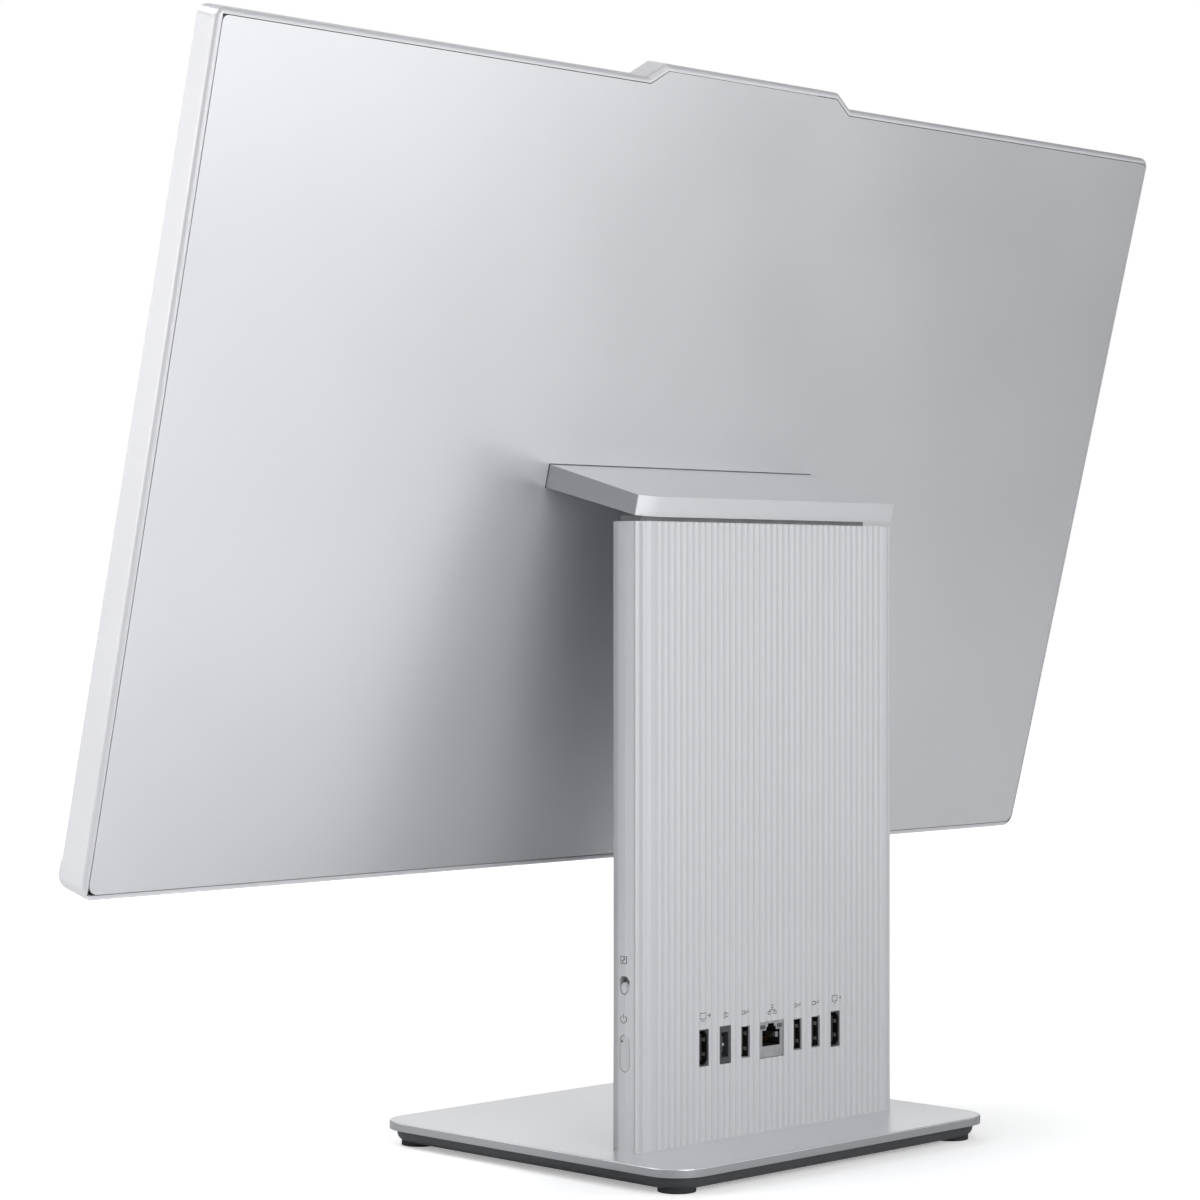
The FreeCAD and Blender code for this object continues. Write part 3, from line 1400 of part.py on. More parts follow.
for thing in doc.Objects:
    check(thing)
for part in subparts:
    if part.Shape.isNull() or not part.Shape.isValid():
        raise SystemExit(f"{part.Label} has no valid shape")
os.makedirs("parts", exist_ok=True)
for part in subparts:
    part.Shape.exportStep(f"parts/{part.Label}.step")
    print(part.Label, len(part.Shape.Solids), round(part.Shape.Volume, 1))
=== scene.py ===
import json
import math

import bmesh
import bpy
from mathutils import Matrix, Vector
from mathutils.bvhtree import BVHTree


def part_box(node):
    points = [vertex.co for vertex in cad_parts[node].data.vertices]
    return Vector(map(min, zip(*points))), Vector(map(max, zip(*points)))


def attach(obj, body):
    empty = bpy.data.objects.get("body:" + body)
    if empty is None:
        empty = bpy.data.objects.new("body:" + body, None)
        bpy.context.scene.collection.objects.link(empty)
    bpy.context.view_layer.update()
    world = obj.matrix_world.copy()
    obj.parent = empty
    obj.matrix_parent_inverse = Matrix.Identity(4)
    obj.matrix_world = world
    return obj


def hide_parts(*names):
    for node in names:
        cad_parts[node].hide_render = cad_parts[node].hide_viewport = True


# All-in-one computer seen from behind: silver painted shells, dark base tray, black sockets.
# Everything is in metres in the model's own frame; MM turns millimetres into metres.

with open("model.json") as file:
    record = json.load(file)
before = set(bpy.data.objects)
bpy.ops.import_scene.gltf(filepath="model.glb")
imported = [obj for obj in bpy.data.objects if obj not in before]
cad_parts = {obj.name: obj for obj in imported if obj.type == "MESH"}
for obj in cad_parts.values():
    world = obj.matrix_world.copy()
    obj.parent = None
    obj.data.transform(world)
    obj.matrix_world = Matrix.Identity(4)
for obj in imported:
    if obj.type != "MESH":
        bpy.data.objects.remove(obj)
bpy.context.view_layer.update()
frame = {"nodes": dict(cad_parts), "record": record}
nodes = frame["nodes"]

MM = 0.001
DEGREE = math.pi / 180


# ---------------------------------------------------------------- camera, floor and light

def add_camera():
    """Behind the object, on its button side, level with the middle of the column."""
    data = bpy.data.cameras.new("view")
    data.lens = 95.54
    data.sensor_width = 36
    camera = bpy.data.objects.new("view", data)
    camera.location = (1.07257, 1.01465, 0.25283)
    camera.rotation_euler = (89.923 * DEGREE, 0, 134.963 * DEGREE)
    bpy.context.scene.collection.objects.link(camera)
    bpy.context.scene.camera = camera


LAMP_TARGET = Vector((0, 0, 0.25))
LAMPS = (
    # name, azimuth and elevation in degrees, distance, width and height in metres, power in watts
    ("front_high", 315, 50, 2.6, 1.5, 1.0, 37),
    ("front_low", 325, 10, 2.6, 1.5, 1.0, 7),
    ("side_low", -20, 8, 1.15, 0.6, 0.6, 2.4),
    ("side_high", 0, 40, 1.2, 0.6, 0.6, 1.4),
    ("rear_high", 75, 50, 1.3, 0.7, 0.7, 3.0),
    ("rear_near", 72, 13, 1.05, 0.7, 0.7, 5.6),
    ("rear_low", 80, 8, 1.15, 0.6, 0.6, 2.0),
    ("rear_far", 132, 10, 2.6, 1.5, 1.0, 6.2),
    ("rear_left", 114, 4, 1.0, 0.5, 0.5, 0.8),
    ("front_left_high", 225, 50, 2.6, 1.5, 1.0, 8),
    ("front_left_low", 225, 10, 2.6, 1.5, 1.0, 4.4),
)


def soft_lamp(name, azimuth, elevation, distance, width, height, power):
    """A rectangular lamp that faces the middle of the object; azimuth 0 is +X, 90 is +Y."""
    data = bpy.data.lights.new(name, "AREA")
    data.shape = "RECTANGLE"
    data.size = width
    data.size_y = height
    data.energy = power
    lamp = bpy.data.objects.new(name, data)
    around = azimuth * DEGREE
    up = elevation * DEGREE
    level = math.cos(up)
    direction = Vector((math.cos(around) * level, math.sin(around) * level, math.sin(up)))
    lamp.location = LAMP_TARGET + direction * distance
    lamp.rotation_euler = (-direction).to_track_quat("-Z", "Y").to_euler()
    lamp.visible_camera = False
    bpy.context.scene.collection.objects.link(lamp)


def pale_surroundings():
    """White behind the object, and only a little light from all round."""
    world = bpy.data.worlds.new("studio")
    world.use_nodes = True
    tree = world.node_tree
    dim = tree.nodes["Background"]
    dim.inputs["Color"].default_value = (0.95, 0.97, 1.0, 1)
    dim.inputs["Strength"].default_value = 0.03
    bright = tree.nodes.new("ShaderNodeBackground")
    bright.inputs["Color"].default_value = (1, 1, 1, 1)
    ray = tree.nodes.new("ShaderNodeLightPath")
    choice = tree.nodes.new("ShaderNodeMixShader")
    tree.links.new(ray.outputs["Is Camera Ray"], choice.inputs[0])
    tree.links.new(dim.outputs[0], choice.inputs[1])
    tree.links.new(bright.outputs[0], choice.inputs[2])
    tree.links.new(choice.outputs[0], tree.nodes["World Output"].inputs["Surface"])
    bpy.context.scene.world = world


FLOOR_HALF_WIDTH = 30


def add_floor():
    """A wide pale floor, level with the feet."""
    mesh = bmesh.new()
    bmesh.ops.create_grid(mesh, x_segments=1, y_segments=1, size=FLOOR_HALF_WIDTH)
    data = bpy.data.meshes.new("floor")
    mesh.to_mesh(data)
    mesh.free()
    data.materials.append(floor_finish())
    floor = bpy.data.objects.new("floor", data)
    bpy.context.scene.collection.objects.link(floor)


def add_studio():
    """Pale floor, pale surroundings and large soft lamps all round."""
    pale_surroundings()
    bpy.context.scene.view_settings.view_transform = "Standard"
    for lamp in LAMPS:
        soft_lamp(*lamp)
    add_floor()


# ---------------------------------------------------------------- materials

class Finish:
    """A node material under construction, with object coordinates at real scale."""

    def __init__(self, name):
        self.material = bpy.data.materials.new(name)
        self.material.use_nodes = True
        self.tree = self.material.node_tree
        self.shader = self.tree.nodes["Principled BSDF"]
        self.place = self.tree.nodes.new("ShaderNodeTexCoord").outputs["Object"]

    def add(self, kind, **settings):
        """A new node of the material, with its properties."""
        node = self.tree.nodes.new(kind)
        for key, setting in settings.items():
            setattr(node, key, setting)
        return node

    def join(self, source, target):
        """Link an output to an input."""
        self.tree.links.new(source, target)

    def set(self, **sockets):
        """Constant values on the shader's own sockets; underscores stand for spaces."""
        for key, setting in sockets.items():
            self.shader.inputs[key.replace("_", " ")].default_value = setting

    def noise(self, size, detail=2.0, stretch=(1, 1, 1)):
        """Noise whose blotches are about size metres across, longer where stretch is above 1."""
        mapping = self.add("ShaderNodeMapping")
        mapping.inputs["Scale"].default_value = tuple(1 / (size * s) for s in stretch)
        self.join(self.place, mapping.inputs["Vector"])
        node = self.add("ShaderNodeTexNoise")
        node.inputs["Scale"].default_value = 1.0
        node.inputs["Detail"].default_value = detail
        self.join(mapping.outputs["Vector"], node.inputs["Vector"])
        return node.outputs["Fac"]

    def cells(self, size):
        """Rounded cells about size metres across."""
        node = self.add("ShaderNodeTexVoronoi")
        node.inputs["Scale"].default_value = 1 / size
        self.join(self.place, node.inputs["Vector"])
        return node.outputs["Distance"]

    def between(self, driver, low, high, start=0.3, end=0.7):
        """A number that runs from low to high as the driver runs from start to end."""
        node = self.add("ShaderNodeMapRange")
        node.inputs["From Min"].default_value = start
        node.inputs["From Max"].default_value = end
        node.inputs["To Min"].default_value = low
        node.inputs["To Max"].default_value = high
        self.join(driver, node.inputs["Value"])
        return node.outputs["Result"]

    def colours(self, driver, *stops):
        """A colour ramp of (position, colour) stops."""
        node = self.add("ShaderNodeValToRGB")
        ramp = node.color_ramp
        while len(ramp.elements) < len(stops):
            ramp.elements.new(0.5)
        for element, (position, colour) in zip(ramp.elements, stops):
            element.position = position
            element.color = (*colour, 1)
        self.join(driver, node.inputs["Fac"])
        return node.outputs["Color"]

    def bump(self, height, depth, strength=1.0):
        """Relief of depth metres from a height between 0 and 1."""
        node = self.add("ShaderNodeBump")
        node.inputs["Distance"].default_value = depth
        node.inputs["Strength"].default_value = strength
        self.join(height, node.inputs["Height"])
        return node.outputs["Normal"]

    def finish(self, colour, roughness, normal=None):
        """Join the parts of the look to the shader, and return the material."""
        self.join(colour, self.shader.inputs["Base Color"])
        self.join(roughness, self.shader.inputs["Roughness"])
        if normal is not None:
            self.join(normal, self.shader.inputs["Normal"])
        return self.material


def shade(colour, factor):
    """The colour made lighter or darker by a factor."""
    return tuple(min(1.0, channel * factor) for channel in colour)


def floor_finish():
    """White paper; for the camera only, it glows to the white of the surroundings further out."""
    made = Finish("floor_paper")
    made.set(Specular_IOR_Level=0.2, Emission_Color=(1, 1, 1, 1))
    fibres = made.noise(3 * MM, 4)
    colour = made.colours(fibres, (0.3, (0.86, 0.865, 0.87)), (0.7, (0.88, 0.885, 0.89)))
    reach = made.add("ShaderNodeVectorMath", operation="LENGTH")
    made.join(made.place, reach.inputs[0])
    glow = made.between(reach.outputs["Value"], 0.32, 1.0, 0.1, 0.5)
    ray = made.add("ShaderNodeLightPath")
    seen = made.add("ShaderNodeMath", operation="MULTIPLY")
    made.join(glow, seen.inputs[0])
    made.join(ray.outputs["Is Camera Ray"], seen.inputs[1])
    made.join(seen.outputs["Value"], made.shader.inputs["Emission Strength"])
    return made.finish(colour, made.between(fibres, 0.75, 0.9))


def satin_paint(name, colour, metallic, roughness, flake=0.25 * MM, relief=0.004 * MM):
    """Fine metallic paint: flakes under a satin coat, with a faint drift of tone."""
    made = Finish(name)
    made.set(Metallic=metallic, Specular_IOR_Level=0.45, Coat_Weight=0.06, Coat_Roughness=0.35)
    flakes = made.noise(flake, 2)
    drift = made.noise(90 * MM, 1)
    base = made.colours(drift, (0.3, shade(colour, 0.985)), (0.7, shade(colour, 1.01)))
    fine = made.colours(flakes, (0.35, (0.965, 0.965, 0.965)), (0.65, (1.0, 1.0, 1.0)))
    product = made.add("ShaderNodeMix", data_type="RGBA", blend_type="MULTIPLY")
    product.inputs["Factor"].default_value = 1.0
    made.join(base, product.inputs["A"])
    made.join(fine, product.inputs["B"])
    rough = made.between(drift, roughness - 0.02, roughness + 0.02)
    return made.finish(product.outputs["Result"], rough, made.bump(flakes, relief))


def painted_facing_shade(material, shade_colour, direction, start, end, both_sides=False):
    """Painted light and shade: blend a paint into another colour as faces turn towards a direction,
    from start to end.
    """
    tree = material.node_tree
    shader = tree.nodes["Principled BSDF"]
    facing = tree.nodes.new("ShaderNodeNewGeometry")
    turn = tree.nodes.new("ShaderNodeVectorMath")
    turn.operation = "DOT_PRODUCT"
    turn.inputs[1].default_value = direction
    tree.links.new(facing.outputs["True Normal"], turn.inputs[0])
    amount = turn.outputs["Value"]
    if both_sides:
        size = tree.nodes.new("ShaderNodeMath")
        size.operation = "ABSOLUTE"
        tree.links.new(amount, size.inputs[0])
        amount = size.outputs["Value"]
    share = tree.nodes.new("ShaderNodeMapRange")
    share.inputs["From Min"].default_value = start
    share.inputs["From Max"].default_value = end
    tree.links.new(amount, share.inputs["Value"])
    blend = tree.nodes.new("ShaderNodeMix")
    blend.data_type = "RGBA"
    blend.inputs["B"].default_value = (*shade_colour, 1)
    tree.links.new(share.outputs["Result"], blend.inputs["Factor"])
    tree.links.new(shader.inputs["Base Color"].links[0].from_socket, blend.inputs["A"])
    tree.links.new(blend.outputs["Result"], shader.inputs["Base Color"])
    return material


def moulded(name, colour, roughness, grain=0.6 * MM, relief=0.02 * MM, specular=0.4):
    """Spark-eroded plastic: a pebbled grain with slightly uneven gloss."""
    made = Finish(name)
    made.set(Specular_IOR_Level=specular)
    pebbles = made.cells(grain)
    cloud = made.noise(12 * MM, 3)
    tone = made.colours(cloud, (0.3, shade(colour, 0.88)), (0.7, shade(colour, 1.1)))
    return made.finish(tone, made.between(cloud, roughness - 0.05, roughness + 0.06),
                       made.bump(pebbles, relief))


def plated(name, colour, roughness, along=(1, 1, 30)):
    """Rolled or plated metal with fine directional scratches and a cloudy tint."""
    made = Finish(name)
    made.set(Metallic=1.0)
    scratches = made.noise(0.15 * MM, 3, along)
    cloud = made.noise(8 * MM, 2)
    tone = made.colours(cloud, (0.3, shade(colour, 0.82)), (0.7, shade(colour, 1.08)))
    return made.finish(tone, made.between(scratches, roughness - 0.08, roughness + 0.1),
                       made.bump(scratches, 0.006 * MM))


def socket_shell(name, rim, inside):
    """Metal at the mouth of a socket; further in, a dark colour that is partly black moulding and
    partly painted shade.
    """
    made = Finish(name)
    split = made.add("ShaderNodeSeparateXYZ")
    made.join(made.place, split.inputs["Vector"])
    # the dark colour further in is partly the black moulding and partly painted shade of the recess
    black_below = SOCKET_FACE - 0.7 * MM
    metal_above = SOCKET_FACE - 0.35 * MM
    mouth = made.between(split.outputs["Y"], 0, 1, black_below, metal_above)
    grain = made.noise(0.3 * MM, 3)
    metal = made.colours(grain, (0.3, shade(rim, 0.9)), (0.7, shade(rim, 1.1)))
    moulding_and_shade = made.colours(grain, (0.3, shade(inside, 0.8)), (0.7, shade(inside, 1.2)))
    tone = made.add("ShaderNodeMix", data_type="RGBA")
    made.join(mouth, tone.inputs["Factor"])
    made.join(moulding_and_shade, tone.inputs["A"])
    made.join(metal, tone.inputs["B"])
    made.join(mouth, made.shader.inputs["Metallic"])
    return made.finish(tone.outputs["Result"], made.between(grain, 0.34, 0.46),
                       made.bump(grain, 0.005 * MM))


def circuit_board():
    """Dark green solder mask, lighter and slightly raised over the copper tracks."""
    made = Finish("circuit_board")
    made.set(Specular_IOR_Level=0.6)
    tracks = made.add("ShaderNodeTexWave", wave_type="BANDS", bands_direction="DIAGONAL")
    tracks.inputs["Scale"].default_value = 160
    tracks.inputs["Distortion"].default_value = 14
    tracks.inputs["Detail"].default_value = 0
    made.join(made.place, tracks.inputs["Vector"])
    height = tracks.outputs["Fac"]
    tone = made.colours(height, (0.42, (0.012, 0.062, 0.038)), (0.5, (0.03, 0.14, 0.08)))
    return made.finish(tone, made.between(made.noise(5 * MM), 0.3, 0.45),
                       made.bump(height, 0.02 * MM, 0.6))


PIXEL_PITCH = 0.31 * MM


def screen_glass():
    """Dark panel under an etched anti-glare front; the pixel grid just shows close up."""
    made = Finish("screen_glass")
    made.set(Specular_IOR_Level=0.5, Coat_Weight=0.35, Coat_Roughness=0.12)
    etch = made.noise(0.12 * MM, 2)
    grid = made.add("ShaderNodeTexBrick", offset=0.0)
    grid.inputs["Color1"].default_value = (0.010, 0.010, 0.013, 1)
    grid.inputs["Color2"].default_value = (0.012, 0.012, 0.014, 1)
    grid.inputs["Mortar"].default_value = (0.004, 0.004, 0.005, 1)
    grid.inputs["Scale"].default_value = 1 / PIXEL_PITCH
    grid.inputs["Mortar Size"].default_value = 0.12
    grid.inputs["Brick Width"].default_value = 1.0
    grid.inputs["Row Height"].default_value = 1.0
    upright = made.add("ShaderNodeMapping")
    upright.inputs["Rotation"].default_value = (90 * DEGREE, 0, 0)
    made.join(made.place, upright.inputs["Vector"])
    made.join(upright.outputs["Vector"], grid.inputs["Vector"])
    return made.finish(grid.outputs["Color"], made.between(etch, 0.22, 0.3),
                       made.bump(etch, 0.003 * MM))


def clear_resin(name, colour, roughness, transmission):
    """Frosted or clear moulded resin with a faint flow pattern inside."""
    made = Finish(name)
    made.set(Transmission_Weight=transmission, IOR=1.49, Coat_Weight=0.2)
    flow = made.noise(1.5 * MM, 3)
    tone = made.colours(flow, (0.3, shade(colour, 0.93)), (0.7, colour))
    return made.finish(tone, made.between(flow, roughness, roughness + 0.08),
                       made.bump(flow, 0.004 * MM))


def printed_ink(name, colour):
    """Pad-printed ink: matt, a little uneven in cover."""
    made = Finish(name)
    made.set(Specular_IOR_Level=0.3)
    cover = made.noise(0.2 * MM, 3)
    tone = made.colours(cover, (0.3, shade(colour, 0.85)), (0.7, shade(colour, 1.15)))
    return made.finish(tone, made.between(cover, 0.55, 0.7), made.bump(cover, 0.004 * MM))


# Where the mouths of the sockets are, on the rear of the column
SOCKET_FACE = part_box("ethernet_port")[1].y

finishes = {
    "silver_back": satin_paint("silver_back", (0.70, 0.707, 0.728), 0.7, 0.33),
    # painted shade: darker on the rim's top and rear than on its sides
    "silver_rim": painted_facing_shade(
        satin_paint("silver_rim", (0.72, 0.722, 0.742), 0.25, 0.42),
        (0.55, 0.553, 0.575), direction=(0, 0.8, 0.6), start=0.1, end=0.55),
    "silver_shell": satin_paint("silver_shell", (0.49, 0.496, 0.514), 0.12, 0.55),
    # painted shade: darker on the plate's edges than on its top
    "base_metal": painted_facing_shade(
        satin_paint("base_metal", (0.80, 0.807, 0.825), 0.7, 0.3, 0.35 * MM, 0.006 * MM),
        (0.36, 0.365, 0.38), direction=(0, 0, 1), start=0.35, end=0.05),
    # painted shade: darker on the cap's two sides
    "cap_paint": painted_facing_shade(
        satin_paint("cap_paint", (0.66, 0.667, 0.688), 0.6, 0.36),
        (0.37, 0.374, 0.388), direction=(1, 0, 0), start=0.6, end=0.9, both_sides=True),
    # painted light: the column's silver paint made lighter on the side trims, to make up for lamp
    # light that they lack
    "silver_trim": satin_paint("silver_trim", (0.55, 0.556, 0.575), 0.25, 0.45),
    "button_silver": satin_paint("button_silver", (0.54, 0.546, 0.565), 0.3, 0.42),
    "dark_tray": moulded("dark_tray", (0.045, 0.047, 0.052), 0.5),
    "grey_inner": moulded("grey_inner", (0.45, 0.455, 0.47), 0.5),
    "foot_rubber": moulded("foot_rubber", (0.028, 0.029, 0.032), 0.75, 0.35 * MM, 0.03 * MM,
                           0.25),
    "black_plastic": moulded("black_plastic", (0.012, 0.012, 0.013), 0.42, 0.4 * MM, 0.012 * MM),
    "chip_black": moulded("chip_black", (0.016, 0.016, 0.018), 0.3, 0.25 * MM, 0.006 * MM, 0.5),
    "light_guide": moulded("light_guide", (0.8, 0.8, 0.8), 0.5),
    "steel": plated("zinc_steel", (0.56, 0.57, 0.58), 0.38),
    "port_metal": plated("port_nickel", (0.44, 0.445, 0.46), 0.34),
    "satin_nickel": plated("satin_nickel", (0.26, 0.263, 0.27), 0.52),
    "brass": plated("brass", (0.72, 0.56, 0.26), 0.28),
    "copper": plated("copper", (0.78, 0.42, 0.26), 0.3),
    "fin_aluminium": plated("fin_aluminium", (0.78, 0.79, 0.8), 0.32),
    "gold_contact": plated("gold_contact", (0.86, 0.66, 0.34), 0.24, (1, 12, 1)),
    "socket_shell": socket_shell("socket_shell", (0.40, 0.405, 0.42), (0.010, 0.010, 0.011)),
    "hdmi_shell": socket_shell("hdmi_shell", (0.10, 0.101, 0.106), (0.008, 0.008, 0.009)),
    "socket_grey": moulded("socket_grey", (0.052, 0.054, 0.06), 0.45, 0.35 * MM, 0.01 * MM),
    "circuit_board": circuit_board(),
    "screen_glass": screen_glass(),
    "light_pipe": clear_resin("light_pipe", (0.05, 0.052, 0.058), 0.3, 0.15),
    "lens_glass": clear_resin("lens_glass", (0.03, 0.03, 0.05), 0.03, 0.1),
    "seal_rubber": moulded("seal_rubber", (0.09, 0.092, 0.1), 0.7, 0.2 * MM, 0.01 * MM, 0.25),
    "glyph_ink": printed_ink("glyph_ink", (0.075, 0.077, 0.082)),
    "lamp_window": clear_resin("lamp_window", (0.06, 0.065, 0.065), 0.3, 0.05),
}


# ---------------------------------------------------------------- CAD nodes

OWN_LOOKS = {
    # node: its finish, where that isn't the one of its material slot
    "hdmi_input": "hdmi_shell", "hdmi_output": "hdmi_shell", "usb_ports": "socket_shell",
    "power_socket": "socket_grey", "hinge_cap": "cap_paint",
    "side_trim_right": "silver_trim", "side_trim_left": "silver_trim",
}
SOFT_EDGES = {
    # node: edge rounding in millimetres; nodes with many slots tear when they are rounded
    "base_tray": 0.3, "base_feet": 1.2, "hinge_cap": 0.25, "cap_floor": 0.2, "power_button": 0.3,
    "camera_shutter": 0.2, "power_socket": 0.12, "ethernet_port": 0.12, "usb_ports": 0.08,
    "hdmi_input": 0.08, "hdmi_output": 0.08, "hinge_arms": 0.25, "hinge_bracket": 0.25,
}
WELD_DISTANCE = 0.0005 * MM
SMOOTH_BELOW = 32 * DEGREE
ROUND_NODES_ABOVE = 50 * DEGREE
ROUND_PIECES_ABOVE = 40 * DEGREE


def add_rounding(thing, width, segments, above):
    """Round the edges of a mesh whose faces turn by more than an angle."""
    bevel = thing.modifiers.new("rounding", "BEVEL")
    bevel.width = width
    bevel.segments = segments
    bevel.limit_method = "ANGLE"
    bevel.angle_limit = above


def level_shading(thing):
    """Shade large flat faces flat where rounded edges meet them."""
    level = thing.modifiers.new("level", "WEIGHTED_NORMAL")
    level.keep_sharp = True
    level.weight = 50


def smooth_group(limit):
    """Geometry nodes that shade a mesh smooth except across edges sharper than the limit."""
    group = bpy.data.node_groups.new("smooth_by_angle", "GeometryNodeTree")
    group.interface.new_socket("Geometry", in_out="INPUT", socket_type="NodeSocketGeometry")
    group.interface.new_socket("Geometry", in_out="OUTPUT", socket_type="NodeSocketGeometry")
    source = group.nodes.new("NodeGroupInput")
    target = group.nodes.new("NodeGroupOutput")
    faces = group.nodes.new("GeometryNodeSetShadeSmooth")
    edges = group.nodes.new("GeometryNodeSetShadeSmooth")
    edges.domain = "EDGE"
    edges.inputs["Shade Smooth"].default_value = False
    angle = group.nodes.new("GeometryNodeInputMeshEdgeAngle")
    sharp = group.nodes.new("ShaderNodeMath")
    sharp.operation = "GREATER_THAN"
    sharp.inputs[1].default_value = limit
    group.links.new(source.outputs[0], faces.inputs["Geometry"])
    group.links.new(faces.outputs[0], edges.inputs["Geometry"])
    group.links.new(angle.outputs["Unsigned Angle"], sharp.inputs[0])
    group.links.new(sharp.outputs[0], edges.inputs["Selection"])
    group.links.new(edges.outputs[0], target.inputs[0])
    return group


def dress_nodes():
    """Give every CAD node its finish, rounded edges where they show, and smooth curves."""
    smoothing = smooth_group(SMOOTH_BELOW)
    for entry in frame["record"]["subparts"]:
        name = entry["node"]
        slot = entry["material_slot"]
        thing = nodes[name]
        thing.data.materials.clear()
        thing.data.materials.append(finishes[OWN_LOOKS.get(name, slot)])
        weld = thing.modifiers.new("weld", "WELD")
        weld.merge_threshold = WELD_DISTANCE
        if name in SOFT_EDGES:
            add_rounding(thing, SOFT_EDGES[name] * MM, 3, ROUND_NODES_ABOVE)
        thing.modifiers.new("smooth", "NODES").node_group = smoothing
        level_shading(thing)


# ---------------------------------------------------------------- mesh helpers

def new_piece(name, mesh, body, finish):
    """Turn a bmesh into a piece that rides on a CAD body."""
    bmesh.ops.recalc_face_normals(mesh, faces=mesh.faces)
    data = bpy.data.meshes.new(name)
    mesh.to_mesh(data)
    mesh.free()
    data.materials.append(finishes[finish])
    piece = bpy.data.objects.new(name, data)
    bpy.context.scene.collection.objects.link(piece)
    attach(piece, body)
    return piece


def add_bevel(piece, width):
    """Round the sharp edges of an added piece."""
    add_rounding(piece, width, 2, ROUND_PIECES_ABOVE)


def add_wall(piece, thickness, offset):
    """Give an open surface a thickness; offset 0 is on both sides of it, 1 on its front only."""
    wall = piece.modifiers.new("wall", "SOLIDIFY")
    wall.thickness = thickness
    wall.offset = offset


def node_middle(name):
    """Middle of a CAD node's box."""
    low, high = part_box(name)
    return (low + high) / 2


def join_rings(mesh, first, second):
    """A band of faces between two closed rings of vertices."""
    count = len(first)
    for i in range(count):
        j = (i + 1) % count
        mesh.faces.new((first[i], first[j], second[j], second[i]))


def add_block(mesh, low, high):
    """A closed block between two corners."""
    corners = [mesh.verts.new((x, y, z)) for x in (low[0], high[0]) for y in (low[1], high[1])
               for z in (low[2], high[2])]
    sides = ((0, 1, 3, 2), (4, 6, 7, 5), (0, 4, 5, 1), (2, 3, 7, 6), (0, 2, 6, 4), (1, 5, 7, 3))
    for side in sides:
        mesh.faces.new([corners[i] for i in side])


def rear_plate(mesh, x, z, half_width, half_height, inner, outer, clip):
    """A plate that faces out of the rear, from inner to outer along Y, with clipped corners."""
    outline = ((half_width, -half_height + clip), (half_width, half_height - clip),
               (half_width - clip, half_height), (-half_width + clip, half_height),
               (-half_width, half_height - clip), (-half_width, -half_height + clip),
               (-half_width + clip, -half_height), (half_width - clip, -half_height))
    front = [mesh.verts.new((x + a, outer, z + b)) for a, b in outline]
    back = [mesh.verts.new((x + a, inner, z + b)) for a, b in outline]
    join_rings(mesh, front, back)
    mesh.faces.new(front)
    mesh.faces.new(back)


def formed_strip(mesh, path, width, thickness, place):
    """A bent metal strip along a path of (depth, rise) points in millimetres.

    place turns a depth, a rise and a distance along the strip's width into a point of the model.
    """
    corners = ((1, -1), (1, 1), (-1, 1), (-1, -1))
    rings = []
    for i, (depth, rise) in enumerate(path):
        before = path[max(0, i - 1)]
        after = path[min(len(path) - 1, i + 1)]
        run = Vector((after[0] - before[0], after[1] - before[1])).normalized()
        offset = Vector((-run.y, run.x)) * thickness / 2
        ring = []
        for side, end in corners:
            spot = place(depth + side * offset.x, rise + side * offset.y, end * width / 2)
            ring.append(mesh.verts.new(spot))
        rings.append(ring)
    for first, second in zip(rings, rings[1:]):
        join_rings(mesh, first, second)
    mesh.faces.new(rings[0])
    mesh.faces.new(rings[-1])


# ---------------------------------------------------------------- socket details

# Named numbers of this section are in millimetres. The sockets stand upright: across is the narrow
# way (X) and up is the wide way (Z). Depth is 0 at the mouth of a socket and negative inside.

CONTACT_NOSE = ((-3.4, 0.05), (-2.7, 0.11), (-2.1, 0.09), (-1.75, -0.1))
CONTACT_THICKNESS = 0.1
SPRING_TAB = ((-6.0, 0.05), (-4.6, 0.35), (-3.4, 0.62), (-2.7, 0.66), (-2.0, 0.45), (-1.3, 0.12))
SPRING_TAB_WIDTH = 1.7
SPRING_TAB_THICKNESS = 0.14
SPRING_TAB_ROUNDING = 0.05
TAB_WALL_ASIDE = 2.5
HDMI_TAB_SPREAD = 3.2
USB_TAB_SPREAD = 3.4
HDMI_TONGUE_ASIDE = 0.2
HDMI_TONGUE_HALF = 0.7
USB_TONGUE_ASIDE = 0.9
USB_TONGUE_HALF = 0.95
USB_GAP = 4

NETWORK_WIRE = ((-12.0, -2.45), (-8.5, -2.4), (-7.2, -2.0), (-3.6, 0.7), (-3.1, 0.75), (-2.9, 0.5))
NETWORK_WIRES = 8
NETWORK_WIRE_PITCH = 1.02
NETWORK_WIRE_WIDTH = 0.42
NETWORK_WIRE_THICKNESS = 0.3
SHIELD_TAB = ((-9.0, 5.75), (-6.0, 5.35), (-4.0, 4.6), (-2.6, 4.2), (-1.6, 4.45), (-0.7, 5.35))
SHIELD_TAB_UP = 1.6
SHIELD_TAB_WIDTH = 2.4
SHIELD_TAB_THICKNESS = 0.3
SHIELD_TAB_ROUNDING = 0.08
CAVITY_HALF = ((5.9, -2.9), (5.9, 4.2), (3.2, 4.2), (3.2, 5.7), (2.0, 5.7), (2.0, 7.1))
CAVITY_DEPTH = 12.6
LINING_INSET = 0.08
LINING_MOUTH = 0.15
LINING_THICKNESS = 0.06
LAMP_ASIDE = 5.6
LAMP_UP = 5.75
LAMP_HALF_WIDTH = 1.75
LAMP_HALF_HEIGHT = 0.95
LAMP_SUNK = 0.5
LAMP_PROUD = 0.04
LAMP_CLIP = 0.3
LAMP_ROUNDING = 0.08

PIN_LENGTH = 1.2
PIN_ROOT_RADIUS = 0.9
PIN_TIP_RADIUS = 0.75
PIN_DEPTH = 1.7
PIN_ROUNDING = 0.1


